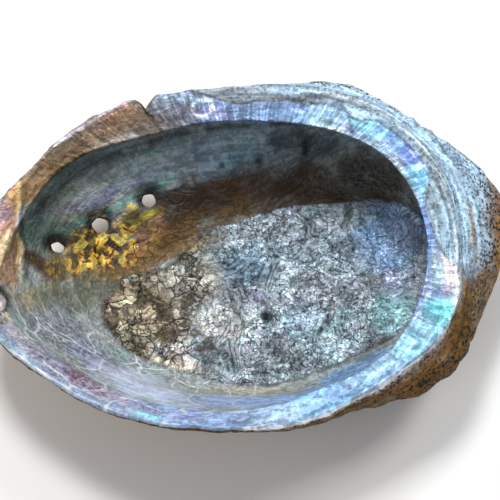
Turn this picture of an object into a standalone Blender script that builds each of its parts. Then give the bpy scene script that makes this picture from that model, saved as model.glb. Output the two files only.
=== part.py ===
"""An abalone shell lying on its back, mouth up, at its real size.

The shell grew as one piece and is one closed solid. +X runs along its length to the spire end,
+Y to the side of the flat inner shelf and the row of pores, and +Z up out of the mouth.
Its surface is lofted round the upright axis of the bowl: at every angle a profile starts at the
middle of the floor, climbs the inner wall, turns over the shelf, crosses the rim and comes down
the outside to the middle of the underside.
"""
import math

import bpy
import numpy as np

MM = 0.001
NODE = "shell"

# Rings of the loft from the middle of the floor to the middle of the underside, each with the
# number of rows of faces up to the next ring
ANGLES = 108
RINGS = (
    ("floor", 3), ("half_floor", 4), ("scar", 4), ("wall", 4), ("undercut", 2), ("under_edge", 1),
    ("edge", 1), ("edge_shoulder", 1), ("shelf", 2), ("rim", 1), ("rim_outer", 2), ("crown", 2),
    ("shoulder", 3), ("flank", 4), ("belly", 7), ("foot", 2), ("foot_middle", 0),
)

# Where the upright axis of the bowl stands, so that the origin is under the middle of the shell
BOWL_AXIS = (1.95, -1.4)

# Closed rings round the axis of the bowl: angle in degrees, radius and height in millimetres
SCAR_EDGE = (
    (0, 66, 14), (30, 66, 15), (60, 43, 12), (90, 31, 11), (120, 27, 10.5), (150, 33, 12),
    (170, 49, 14), (187, 58, 16), (205, 57.5, 15), (225, 54.5, 14), (246, 48, 12.5),
    (270, 46, 12), (294, 48, 12), (317, 54, 13), (338, 62, 14),
)
MID_WALL = (
    (0, 79, 24), (30, 82, 25), (50, 73, 27), (69, 58.5, 28), (86, 49, 28), (106, 45.5, 27),
    (125, 46, 26), (143, 50.5, 25), (162, 62.5, 25), (173, 76, 27.5), (190, 82, 30),
    (205, 75, 28.5), (225, 65, 28), (246, 57, 27), (270, 54, 26), (294, 55, 26),
    (317, 62, 25), (338, 72, 25),
)
UNDERCUT = (
    (0, 84, 37), (30, 86, 38), (50, 76, 39.5), (66, 64, 41), (84, 58, 41.5), (101, 58.5, 41.5),
    (119, 62.5, 41), (137, 70, 41), (149, 78, 41), (162, 85, 41), (175, 89, 40), (190, 91, 37.5),
    (205, 83, 35.5), (225, 71, 35), (246, 62.5, 35), (270, 59, 35), (294, 61, 37), (317, 69, 38),
    (338, 77, 37.5),
)
SHELF_EDGE = (
    (0, 65.5, 53), (22, 63.5, 54), (36, 61, 54), (48, 58, 53), (64, 54, 52), (82, 51.5, 51),
    (101, 52, 51), (119, 56, 50), (137, 63.5, 50), (149, 73.5, 49), (160, 81, 48), (173, 87.5, 46.5),
    (190, 95, 43), (204, 88, 41.5), (225, 75.5, 41), (246, 67.5, 42), (264, 64, 43.5),
    (281, 62, 45.5), (296, 61.5, 47), (314, 64.7, 49), (333, 65.8, 51), (346, 65.8, 52.5),
)
RIM = (
    (0, 77, 56), (25, 77, 56), (45, 75, 55), (65, 71.5, 53.5), (90, 67, 52), (112, 69.8, 51),
    (130, 78, 50), (145, 84.5, 49), (160, 91, 48), (172, 98.5, 47), (187, 104.5, 46.5),
    (200, 99.5, 46), (213, 90.5, 46), (226, 83.5, 47), (242, 77, 48), (262, 71.5, 49),
    (280, 71, 50), (298, 71, 51), (316, 73.5, 52), (332, 78, 53), (346, 78.5, 55),
)
SHOULDER = (
    (0, 97, 35), (15, 101.5, 36), (30, 94, 37), (45, 85.5, 39), (60, 83, 42), (75, 75, 43.5),
    (90, 68.5, 43), (112, 69.5, 41), (130, 76.5, 40), (145, 82, 39), (160, 89, 38), (175, 98, 38),
    (188, 99.5, 38), (204, 92.5, 37.5), (225, 78, 36), (245, 70, 36), (262, 67, 36),
    (280, 66, 34), (293, 68.5, 33), (304, 70.5, 32), (315, 79.5, 31), (325, 85.5, 31),
    (335, 88.5, 31.5), (346, 90.5, 33),
)
FLANK = (
    (0, 92, 20), (17, 94, 21), (30, 90, 21), (45, 82, 21), (60, 72, 22), (75, 61, 23.5),
    (90, 53.5, 22.5), (106, 49.5, 22), (125, 50, 21), (145, 54, 20.5), (162, 65, 20.5),
    (173, 78, 22.5), (190, 85, 25), (205, 78, 23.5), (225, 69.5, 24), (246, 61.5, 22.5),
    (270, 58, 21.5), (294, 60, 20), (317, 70, 19), (334, 82, 19),
)
BELLY = (
    (0, 72, 8), (30, 70, 8), (60, 50, 7), (90, 33, 6), (120, 29.5, 5.5), (150, 35.5, 7),
    (170, 51, 8), (187, 60, 9.7), (205, 59.5, 9), (225, 57, 8.5), (246, 50, 7.5), (270, 48, 7),
    (294, 50, 7), (317, 57, 7.5), (338, 66, 8),
)
FLOOR_HEIGHT = 7.5
FLOOR_RISE = 1.5
FOOT_CENTRE = (17.5, 3.0)
FOOT_RADIUS = 17.0
CLEAR_OF_GROUND = 0.5

# Shelf and rim sections; along the thin lip there is no dip, and the wall runs on into the rim
SHELF_SHOULDER = (1.3, 0.7)
SHELF_DIP = 0.8
THIN_LIP_START = (math.radians(190.0), math.radians(215.0))
THIN_LIP_END = (math.radians(280.0), math.radians(300.0))
LIP_RISE = (0.4, 1.4)
UNDER_EDGE_SHARE = 0.3
RIM_THICKNESS = (0.8, 2.4)
CROWN_BULGE = 0.09

# Chip broken out of the rim on the shelf side: it slopes in from the spire and is steep in front
CHIP_ANGLE = 127.0
CHIP_SPIRE_SIDE = 6.0
CHIP_FRONT_SIDE = 3.0
CHIP_DEPTH = 6.5
CHIP_SHOULDER_SHARE = 0.9

# The spire and the row of pores that winds out of it: each older pore lies nearer the apex
APEX = (66.0, 16.0)
PORE_ROW_START = (164.0, 187.0)
PORE_STEP_RATIO = 0.868
PORE_STEP_TURN = 4.0
PORE_TURN_GROWTH = 0.38
OPEN_PORES = (
    (-75.6, 8.7, 27.0, 2.5),
    (-59.4, 19.3, 25.0, 3.3),
    (-40.3, 30.5, 25.0, 3.0),
)
PORE_LEAN = (-0.2, 0.3)
PORE_SIDES = 20
PORE_CUTTER_REACH = (-7.0, 11.0)
FIRST_CLOSED_PORE = 4
CLOSED_PORES = 12
CLOSED_PORES_INSIDE = 4
KNOB_HEIGHT = 2.6
KNOB_RADIUS = 4.6
BLISTER_HEIGHT = 1.2
BLISTER_RADIUS = 3.4

# Relief of the outside and of the muscle scar
GROWTH_STEPS = 7.0
GROWTH_FADE = (0.2, 0.6)
GROWTH_RELIEF = 0.8
LUMP_RELIEF = 1.3
LUMP_SIZE = 19.0
SCAR_LIFT = 0.8
SCAR_RELIEF = 0.6
SCAR_FLAKE_SIZE = 11.0
SPIRE_RADIUS = 24.0
SPIRE_HEIGHT = 5.0
SPIRE_GROOVE = 2.4
SPIRE_WINDING = 2.6
SPIRE_TIP = (2.0, 8.0)


def closed_curve(stations, angles):
    """Read a ring at the angles: a smooth closed cubic through its stations, radius and height."""
    stations = np.array(stations, float)
    knots = np.radians(stations[:, 0])
    values = stations[:, 1:]
    count = len(knots)
    gaps = (np.roll(knots, -1) - knots) % (2.0 * math.pi)
    before = np.roll(gaps, 1)
    slopes = (np.roll(values, -1, axis=0) - values) / gaps[:, None]
    system = np.zeros((count, count))
    index = np.arange(count)
    system[index, index] = 2.0 * (gaps + before)
    system[index, (index + 1) % count] += gaps
    system[index, (index - 1) % count] += before
    bend = np.linalg.solve(system, 6.0 * (slopes - np.roll(slopes, 1, axis=0)))
    angles = np.asarray(angles) % (2.0 * math.pi)
    span = np.searchsorted(knots, angles, side="right") - 1
    after = (span + 1) % count
    gap = gaps[span][:, None]
    along = ((angles - knots[span]) % (2.0 * math.pi))[:, None]
    left = gap - along
    return (
        (bend[span] * left ** 3 + bend[after] * along ** 3) / (6.0 * gap)
        + (values[span] / gap - bend[span] * gap / 6.0) * left
        + (values[after] / gap - bend[after] * gap / 6.0) * along
    )


def smooth_steps(low, high, value):
    """Ease from 0 at low to 1 at high."""
    share = np.clip((value - low) / (high - low), 0.0, 1.0)
    return share * share * (3.0 - 2.0 * share)


def lattice_value(cell, seed):
    """A fixed pseudo-random number from 0 to 1 for each whole-number lattice corner."""
    mask = 0xFFFFFFFF
    cell = cell.astype(np.int64)
    mixed = (cell[..., 0] * 374761393 + cell[..., 1] * 668265263 + cell[..., 2] * 362437) & mask
    mixed = (mixed + seed * 974634777) & mask
    mixed = ((mixed ^ (mixed >> 13)) * 1274126177) & mask
    return (mixed ^ (mixed >> 16)) / mask


def lump_noise(points, size, seed):
    """Smooth bumps of the given size, from -1 to 1, blended between lattice corners."""
    scaled = points / size
    cell = np.floor(scaled)
    share = scaled - cell
    share = share * share * (3.0 - 2.0 * share)
    total = np.zeros(points.shape[:-1])
    for corner in range(8):
        step = np.array((corner & 1, (corner >> 1) & 1, (corner >> 2) & 1))
        weight = np.prod(np.where(step == 1, share, 1.0 - share), axis=-1)
        total += weight * lattice_value(cell + step, seed)
    return 2.0 * total - 1.0


def chord_spline(points):
    """Pass a centripetal Catmull-Rom curve through the rings' points at every angle."""
    first = 2.0 * points[0] - points[1]
    last = 2.0 * points[-1] - points[-2]
    padded = np.concatenate((first[None], points, last[None]))
    reach = np.linalg.norm(np.diff(padded, axis=0), axis=-1, keepdims=True) ** 0.5
    lines = []
    for ring, (_, steps) in enumerate(RINGS[:-1]):
        p0, p1, p2, p3 = padded[ring:ring + 4]
        g0, g1, g2 = reach[ring:ring + 3]
        for step in range(steps):
            t = step / steps * g1
            a1 = (p0 * -t + p1 * (t + g0)) / g0
            a2 = (p1 * (g1 - t) + p2 * t) / g1
            a3 = (p2 * (g1 + g2 - t) + p3 * (t - g1)) / g2
            b1 = (a1 * (g1 - t) + a2 * (t + g0)) / (g0 + g1)
            b2 = (a2 * (g1 + g2 - t) + a3 * t) / (g1 + g2)
            lines.append((b1 * (g1 - t) + b2 * t) / g1)
    lines.append(points[-1])
    return np.array(lines)


def upright_ring(ring, angles):
    """Turn radius and height at each angle into points in space."""
    return np.stack((ring[:, 0] * np.cos(angles), ring[:, 0] * np.sin(angles), ring[:, 1]), axis=1)


def loft_rings(angles):
    """The rings' points at each angle, in the order of RINGS."""
    flat = np.zeros_like(angles)
    scar = closed_curve(SCAR_EDGE, angles)
    undercut = closed_curve(UNDERCUT, angles)
    edge = closed_curve(SHELF_EDGE, angles)
    rim = closed_curve(RIM, angles)
    shoulder = closed_curve(SHOULDER, angles)
    past_chip = np.degrees(angles) - CHIP_ANGLE
    from_chip = np.maximum(past_chip / CHIP_FRONT_SIDE, -past_chip / CHIP_SPIRE_SIDE)
    chip = CHIP_DEPTH * np.clip(1.0 - from_chip, 0.0, 1.0)
    rim[:, 0] -= chip
    shoulder[:, 0] -= CHIP_SHOULDER_SHARE * chip
    rim_outer = rim + np.array((RIM_THICKNESS[0], -RIM_THICKNESS[1]))
    drop = shoulder - rim_outer
    thin_lip = smooth_steps(*THIN_LIP_START, angles) * (1.0 - smooth_steps(*THIN_LIP_END, angles))
    raised = np.stack((flat, LIP_RISE[0] * thin_lip), axis=1)
    shelf_height = np.stack((flat, LIP_RISE[1] * thin_lip - SHELF_DIP), axis=1)
    sections = {
        "floor": np.stack((flat, flat + FLOOR_HEIGHT), axis=1),
        "half_floor": np.stack((scar[:, 0] * 0.5, flat + FLOOR_HEIGHT + FLOOR_RISE), axis=1),
        "scar": scar,
        "wall": closed_curve(MID_WALL, angles),
        "undercut": undercut,
        "under_edge": edge + (undercut - edge) * UNDER_EDGE_SHARE,
        "edge": edge,
        "edge_shoulder": edge + np.array(SHELF_SHOULDER) + raised,
        "shelf": (edge + rim) * 0.5 + shelf_height,
        "rim": rim,
        "rim_outer": rim_outer,
        "crown": rim_outer + drop * 0.5 + CROWN_BULGE * np.stack((-drop[:, 1], drop[:, 0]), axis=1),
        "shoulder": shoulder,
        "flank": closed_curve(FLANK, angles),
        "belly": closed_curve(BELLY, angles),
        "foot": np.stack((flat + FOOT_RADIUS, flat), axis=1),
        "foot_middle": np.stack((flat, flat), axis=1),
    }
    points = {name: upright_ring(section, angles) for name, section in sections.items()}
    for name in ("foot", "foot_middle"):
        points[name][:, :2] += FOOT_CENTRE
    return np.stack([points[name] for name, _ in RINGS])


def ring_row(ring):
    """The row of the loft on which a ring lies."""
    names = [name for name, _ in RINGS]
    return sum(rows for _, rows in RINGS[:names.index(ring)])


def growth_stage(points):
    """How old each point of the outside is: 0 at the apex, 1 at the rim.

    Every growth line is the rim's outline shrunk towards the apex.
    """
    offset = points[..., :2] - np.array(APEX)
    low = np.full(points.shape[:-1], 0.01)
    high = np.full(points.shape[:-1], 1.6)
    for _ in range(12):
        middle = 0.5 * (low + high)
        spot = np.array(APEX) + offset / middle[..., None]
        angle = np.arctan2(spot[..., 1], spot[..., 0])
        reach = closed_curve(RIM, angle.ravel())[:, 0].reshape(angle.shape)
        outside = np.hypot(spot[..., 0], spot[..., 1]) > reach
        low = np.where(outside, middle, low)
        high = np.where(outside, high, middle)
    return 0.5 * (low + high)


def pore_spot(number):
    """Plan position of a pore of the row, counted back from the newest at the rim."""
    reach = PORE_ROW_START[0] * PORE_STEP_RATIO ** number
    turn = PORE_ROW_START[1] - PORE_STEP_TURN * number - PORE_TURN_GROWTH * number ** 2
    angle = math.radians(turn)
    return np.array((APEX[0] + reach * math.cos(angle), APEX[1] + reach * math.sin(angle)))


def outside_relief(points):
    """Height of the lumps, growth ledges, pore knobs and spire on the outside."""
    stage = growth_stage(points)
    wave = 2.0 * math.pi * GROWTH_STEPS * stage
    young = smooth_steps(*GROWTH_FADE, stage)
    ledges = GROWTH_RELIEF * young * (np.sin(wave) - 0.3 * np.sin(2.0 * wave))
    relief = ledges + LUMP_RELIEF * lump_noise(points, LUMP_SIZE, 3)
    for number in range(FIRST_CLOSED_PORE, FIRST_CLOSED_PORE + CLOSED_PORES):
        away = np.linalg.norm(points[..., :2] - pore_spot(number), axis=-1)
        size = KNOB_RADIUS * PORE_STEP_RATIO ** (0.5 * (number - FIRST_CLOSED_PORE))
        relief += KNOB_HEIGHT * np.exp(-(away / size) ** 2)
    offset = points[..., :2] - np.array(APEX)
    away = np.hypot(offset[..., 0], offset[..., 1])
    turn = np.arctan2(offset[..., 1], offset[..., 0])
    coil = np.sin(turn - SPIRE_WINDING * np.log(np.maximum(away, 1.0)))
    cap = 1.0 - smooth_steps(0.0, SPIRE_RADIUS, away)
    relief += SPIRE_HEIGHT * cap + SPIRE_GROOVE * coil * cap * smooth_steps(*SPIRE_TIP, away)
    return relief


def scar_relief(points):
    """Height of the raised, lumpy patch where the muscle held on."""
    rough = lump_noise(points, SCAR_FLAKE_SIZE, 7) + 0.5 * lump_noise(points, SCAR_FLAKE_SIZE * 0.5, 8)
    return SCAR_LIFT + SCAR_RELIEF * rough


def blister_relief(points):
    """Height of the knobs of nacre that seal the older pores on the inner wall."""
    relief = np.zeros(points.shape[:-1])
    for number in range(FIRST_CLOSED_PORE, FIRST_CLOSED_PORE + CLOSED_PORES_INSIDE):
        away = np.linalg.norm(points[..., :2] - pore_spot(number), axis=-1)
        relief += BLISTER_HEIGHT * np.exp(-(away / BLISTER_RADIUS) ** 2)
    return relief


def between_rings(low, high, rows):
    """Ease from 0 at the row of one ring to 1 at the row of a later one."""
    return smooth_steps(ring_row(low), ring_row(high), rows)


def loft_grid():
    """Points of the whole surface, one row for each step of the profile, with the relief on."""
    angles = np.arange(ANGLES) * 2.0 * math.pi / ANGLES
    points = chord_spline(loft_rings(angles))
    along = np.gradient(points, axis=0)
    around = np.roll(points, -1, axis=1) - np.roll(points, 1, axis=1)
    normal = np.cross(along, around)
    normal /= np.maximum(np.linalg.norm(normal, axis=-1, keepdims=True), 1e-9)

    rows = np.arange(len(points), dtype=float)[:, None]
    scar_row = ring_row("scar")
    on_scar = smooth_steps(0, 2, rows) * (1.0 - smooth_steps(scar_row - 2, scar_row + 1, rows))
    on_wall = between_rings("scar", "wall", rows) * (1.0 - between_rings("undercut", "under_edge", rows))
    foot_row = ring_row("foot")
    outside = between_rings("rim", "crown", rows) * (1.0 - smooth_steps(foot_row - 3, foot_row, rows))
    relief = scar_relief(points) * on_scar + blister_relief(points) * on_wall
    relief += outside_relief(points) * outside
    points += normal * relief[..., None]
    points[:foot_row, :, 2] = np.maximum(points[:foot_row, :, 2], CLEAR_OF_GROUND)
    points[foot_row:, :, 2] = 0.0
    points[..., :2] += BOWL_AXIS
    return points


def grid_mesh(name, points):
    """Close the grid of points into one solid, with its first and last rows drawn to one point."""
    inner, rows = points[0, 0], points[1:-1]
    vertices = np.concatenate((inner[None], rows.reshape(-1, 3), points[-1, 0][None]))
    count, around = rows.shape[:2]
    index = np.arange(count * around).reshape(count, around) + 1
    following = np.roll(index, -1, axis=1)
    faces = np.stack((index[:-1], following[:-1], following[1:], index[1:]), axis=-1)
    faces = faces.reshape(-1, 4)[:, ::-1].tolist()
    last = len(vertices) - 1
    faces += [(0, int(a), int(b)) for a, b in zip(index[0], following[0])]
    faces += [(last, int(b), int(a)) for a, b in zip(index[-1], following[-1])]
    mesh = bpy.data.meshes.new(name)
    mesh.from_pydata((vertices * MM).tolist(), [], faces)
    return mesh


def pore_cutter(spot):
    """A round bar through the wall along a pore's axis, which leans out to the front and the shelf side."""
    x, y, height, radius = spot
    middle = np.array((x + BOWL_AXIS[0], y + BOWL_AXIS[1], height))
    axis = np.array((*PORE_LEAN, -1.0))
    axis /= np.linalg.norm(axis)
    side = np.cross(axis, (0.0, 0.0, 1.0))
    side /= np.linalg.norm(side)
    other = np.cross(axis, side)
    turns = np.arange(PORE_SIDES) * 2.0 * math.pi / PORE_SIDES
    circle = radius * (np.cos(turns)[:, None] * side + np.sin(turns)[:, None] * other)
    ends = [middle + axis * reach + circle for reach in PORE_CUTTER_REACH]
    vertices = np.concatenate(ends) * MM
    faces = [
        (k, (k + 1) % PORE_SIDES, (k + 1) % PORE_SIDES + PORE_SIDES, k + PORE_SIDES)
        for k in range(PORE_SIDES)
    ]
    faces.append(tuple(range(PORE_SIDES))[::-1])
    faces.append(tuple(range(PORE_SIDES, 2 * PORE_SIDES)))
    mesh = bpy.data.meshes.new("pore_cutter")
    mesh.from_pydata(vertices.tolist(), [], faces)
    cutter = bpy.data.objects.new("pore_cutter", mesh)
    bpy.context.collection.objects.link(cutter)
    cutter.hide_render = True
    cutter.display_type = "WIRE"
    return cutter


def shell_material():
    """Silvery blue-green mother-of-pearl with a soft gloss."""
    material = bpy.data.materials.new("nacre")
    material.use_nodes = True
    shader = material.node_tree.nodes["Principled BSDF"]
    shader.inputs["Base Color"].default_value = (0.36, 0.44, 0.5, 1.0)
    shader.inputs["Roughness"].default_value = 0.35
    shader.inputs["Metallic"].default_value = 0.1
    return material


def build_shell():
    """Make the shell with its three open pores."""
    mesh = grid_mesh(NODE, loft_grid())
    shell = bpy.data.objects.new(NODE, mesh)
    bpy.context.collection.objects.link(shell)
    mesh.materials.append(shell_material())
    mesh.shade_smooth()
    for spot in OPEN_PORES:
        cut = shell.modifiers.new("pore", "BOOLEAN")
        cut.operation = "DIFFERENCE"
        cut.solver = "EXACT"
        cut.object = pore_cutter(spot)
    return shell


def main():
    """Clear the scene and build the shell."""
    for old in list(bpy.data.objects):
        bpy.data.objects.remove(old, do_unlink=True)
    build_shell()


main()
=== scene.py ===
"""An abalone shell on its back, mouth up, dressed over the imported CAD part.

Sizes are in millimetres in the part's frame: +X to the spire end, +Y to the side of the pores,
+Z up out of the mouth. They become metres where a mesh, a lamp or the camera is made.
"""
from __future__ import annotations

import logging
import math
from dataclasses import dataclass
from enum import Enum

import bpy
import numpy as np
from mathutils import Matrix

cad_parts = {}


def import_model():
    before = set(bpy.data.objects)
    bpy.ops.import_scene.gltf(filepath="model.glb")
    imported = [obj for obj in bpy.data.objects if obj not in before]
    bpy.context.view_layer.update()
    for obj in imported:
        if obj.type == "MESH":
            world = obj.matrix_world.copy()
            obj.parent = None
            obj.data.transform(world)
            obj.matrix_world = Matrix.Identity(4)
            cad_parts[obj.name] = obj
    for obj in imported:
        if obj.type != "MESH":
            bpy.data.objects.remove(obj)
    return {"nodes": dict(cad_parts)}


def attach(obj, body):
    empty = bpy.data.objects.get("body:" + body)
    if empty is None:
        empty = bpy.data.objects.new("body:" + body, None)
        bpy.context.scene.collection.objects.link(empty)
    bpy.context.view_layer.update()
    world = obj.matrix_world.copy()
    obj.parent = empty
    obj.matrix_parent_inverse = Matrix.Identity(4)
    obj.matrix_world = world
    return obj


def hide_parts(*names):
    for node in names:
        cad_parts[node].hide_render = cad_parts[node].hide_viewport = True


Array = np.ndarray
Socket = bpy.types.NodeSocket
Pair = tuple[float, float]
Pairs = tuple[Pair, Pair]
Triple = tuple[float, float, float]
Tone = tuple[float, float, float, float]
MM = 0.001
LOG = logging.getLogger("abalone_shell")
PAINTED = ("paint", "strip", "crinkled", "flaky", "crust", "shelf", "web", "smooth", "gold", "growth", "hue")
LOW_BITS = 0xFFFFFFFF
MIXERS = (374761393, 668265263, 362437)
SEED_MIXER = 974634777
LAST_MIXER = 1274126177


def ease(low: float, high: float, value: Array) -> Array:
    """Ease from 0 at low to 1 at high along an S curve, share squared times three less twice share."""
    share = np.clip((value - low) / (high - low), 0.0, 1.0)
    return share * share * (3.0 - 2.0 * share)


def bump(away: Array, radius: float) -> Array:
    """A round bell of height 1: e to the minus square of the distance over the radius."""
    return np.exp(-((away / radius) ** 2))


def blend(under: Array, over: Array, share: Array) -> Array:
    """Lay one array over another by the share, from 0 to 1, of each point."""
    return under + (over - under) * share[..., None]


def between(value: Array, rise: Pair, fall: Pair) -> Array:
    """Share from 0 to 1 of what lies between a rise and a fall, each eased over its two levels."""
    return ease(*rise, value) * (1.0 - ease(*fall, value))


def sector(degrees: Array, start: float, end: float, fade: float = 5.0) -> Array:
    """Share from 0 to 1 of the turns from start to end, which may pass 360, eased off past both ends."""
    half = 0.5 * ((end - start) % 360.0)
    off = np.abs((degrees - start - half + 180.0) % 360.0 - 180.0)
    return 1.0 - ease(half, half + fade, off)


def linear_colour(code: str) -> Array:
    """Turn a colour written as #rrggbb into linear light: ((c + 0.055) / 1.055) to the power 2.4."""
    shown = np.array([int(code[k:k + 2], 16) for k in (1, 3, 5)]) / 255.0
    return np.where(shown <= 0.04045, shown / 12.92, ((shown + 0.055) / 1.055) ** 2.4)


def dye(under: Array, code: str, share: Array) -> Array:
    """Lay a colour written as #rrggbb over others by the share, from 0 to 1, of each point."""
    return blend(under, linear_colour(code), share)


def placed(name: str, data: bpy.types.ID) -> bpy.types.Object:
    """Make an object of its data and put it in the scene."""
    made = bpy.data.objects.new(name, data)
    bpy.context.collection.objects.link(made)
    return made


def corner_vertices(mesh: bpy.types.Mesh) -> Array:
    """Number of the vertex at each corner of each face."""
    corner = np.zeros(len(mesh.loops), int)
    mesh.loops.foreach_get("vertex_index", corner)
    return corner


def corner_value(cell: Array, seed: int) -> Array:
    """Give each whole-number lattice corner a fixed number from 0 to 1 by mixing its bits.

    Args:
        cell: Lattice corners, three whole numbers each.
        seed: Chooses another set of numbers.

    Returns:
        One number for each corner.
    """
    mixed = (cell.astype(np.int64) * MIXERS).sum(axis=-1) & LOW_BITS
    mixed = (mixed + seed * SEED_MIXER) & LOW_BITS
    mixed = ((mixed ^ (mixed >> 13)) * LAST_MIXER) & LOW_BITS
    return (mixed ^ (mixed >> 16)) / LOW_BITS


def lumps(points: Array, size: float, seed: int) -> Array:
    """Smooth bumps: the numbers of the eight lattice corners round a point, blended by nearness.

    Args:
        points: Places in space.
        size: Width of one bump.
        seed: Chooses another set of bumps.

    Returns:
        A height from -1 to 1 for each place.
    """
    scaled = points / size
    cell = np.floor(scaled)
    share = scaled - cell
    share = share * share * (3.0 - 2.0 * share)
    total = np.zeros(points.shape[:-1])
    for corner in range(8):
        step = np.array((corner & 1, (corner >> 1) & 1, (corner >> 2) & 1))
        weight = np.prod(np.where(step == 1, share, 1.0 - share), axis=-1)
        total += weight * corner_value(cell + step, seed)
    return 2.0 * total - 1.0


def rough(points: Array, size: float, seed: int, layers: int = 3) -> Array:
    """Lumps with finer lumps on them: each layer has half the width and half the height."""
    total = sum(0.5 ** k * lumps(points, size * 0.5 ** k, seed + k) for k in range(layers))
    return total / (1.6 - 0.5 ** layers)


def shaken(points: Array, size: float, seed: int) -> Array:
    """Rough numbers in all three directions, to push a pattern's ground about."""
    return np.stack([rough(points, size, seed + k) for k in range(3)], axis=-1)


def flakes(points: Array, size: float, seed: int) -> tuple[Array, Array, Array]:
    """Split the plan into cells round scattered points, as flaking layers split.

    A point belongs to the nearest of the scattered points of the nine lattice squares round it.

    Args:
        points: Places in space; their plan position counts.
        size: Width of one cell.
        seed: Chooses another scatter.

    Returns:
        The number from 0 to 1 of the cell at each place, how far off its border is, in cells,
        and how far off its middle.
    """
    scaled = points[..., :2] / size
    cell = np.floor(scaled)
    nearest = np.full(scaled.shape[:-1], 9.0)
    second = nearest.copy()
    number = np.zeros_like(nearest)
    for across in (-1, 0, 1):
        for up in (-1, 0, 1):
            corner = np.concatenate((cell + (across, up), np.zeros_like(cell[..., :1])), axis=-1)
            spot = np.stack((corner_value(corner, seed), corner_value(corner, seed + 1)), axis=-1)
            away = np.linalg.norm(corner[..., :2] + spot - scaled, axis=-1)
            closer = away < nearest
            second = np.where(closer, nearest, np.minimum(second, away))
            nearest = np.where(closer, away, nearest)
            number = np.where(closer, corner_value(corner, seed + 2), number)
    return number, second - nearest, nearest


@dataclass(frozen=True)
class Ring:
    """A ring of the loft, with the part's rows and the finer rows up to the next ring."""

    name: str
    part_rows: int
    rows: int


RINGS = (
    Ring("floor", 3, 26), Ring("half_floor", 4, 38), Ring("scar", 4, 20), Ring("wall", 4, 16),
    Ring("undercut", 2, 7), Ring("under_edge", 1, 4), Ring("edge", 1, 5), Ring("edge_shoulder", 1, 11),
    Ring("shelf", 2, 12), Ring("rim", 1, 4), Ring("rim_outer", 2, 8), Ring("crown", 2, 8),
    Ring("shoulder", 3, 14), Ring("flank", 4, 14), Ring("belly", 7, 15), Ring("foot", 2, 3),
    Ring("foot_middle", 0, 0),
)


def ring_number(name: str) -> int:
    """Place of a ring in the order of the loft."""
    return [ring.name for ring in RINGS].index(name)


@dataclass
class Surface:
    """The shell's surface as arrays of rows, from the middle of the floor to that of the underside.

    Attributes:
        points: Rows by angles by three, in millimetres.
        angles: Turn of each column round the bowl's axis, in radians.
        ring: Place of each row between the rings: 0 at the floor, 2 at the edge of the scar.
        part_row: The same place counted in the part's rows.
        normals: Unit directions out of the solid.
        across: Length of the profile from the shelf's inner edge to each point.
    """

    points: Array
    angles: Array
    ring: Array
    part_row: Array
    normals: Array
    across: Array

    def up_to(self, line: tuple) -> Array:
        """How many rings each point lies short of a line, given by pairs of an angle and a ring."""
        return ShellForm.closed_curve(line, self.angles).T - self.ring


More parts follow.
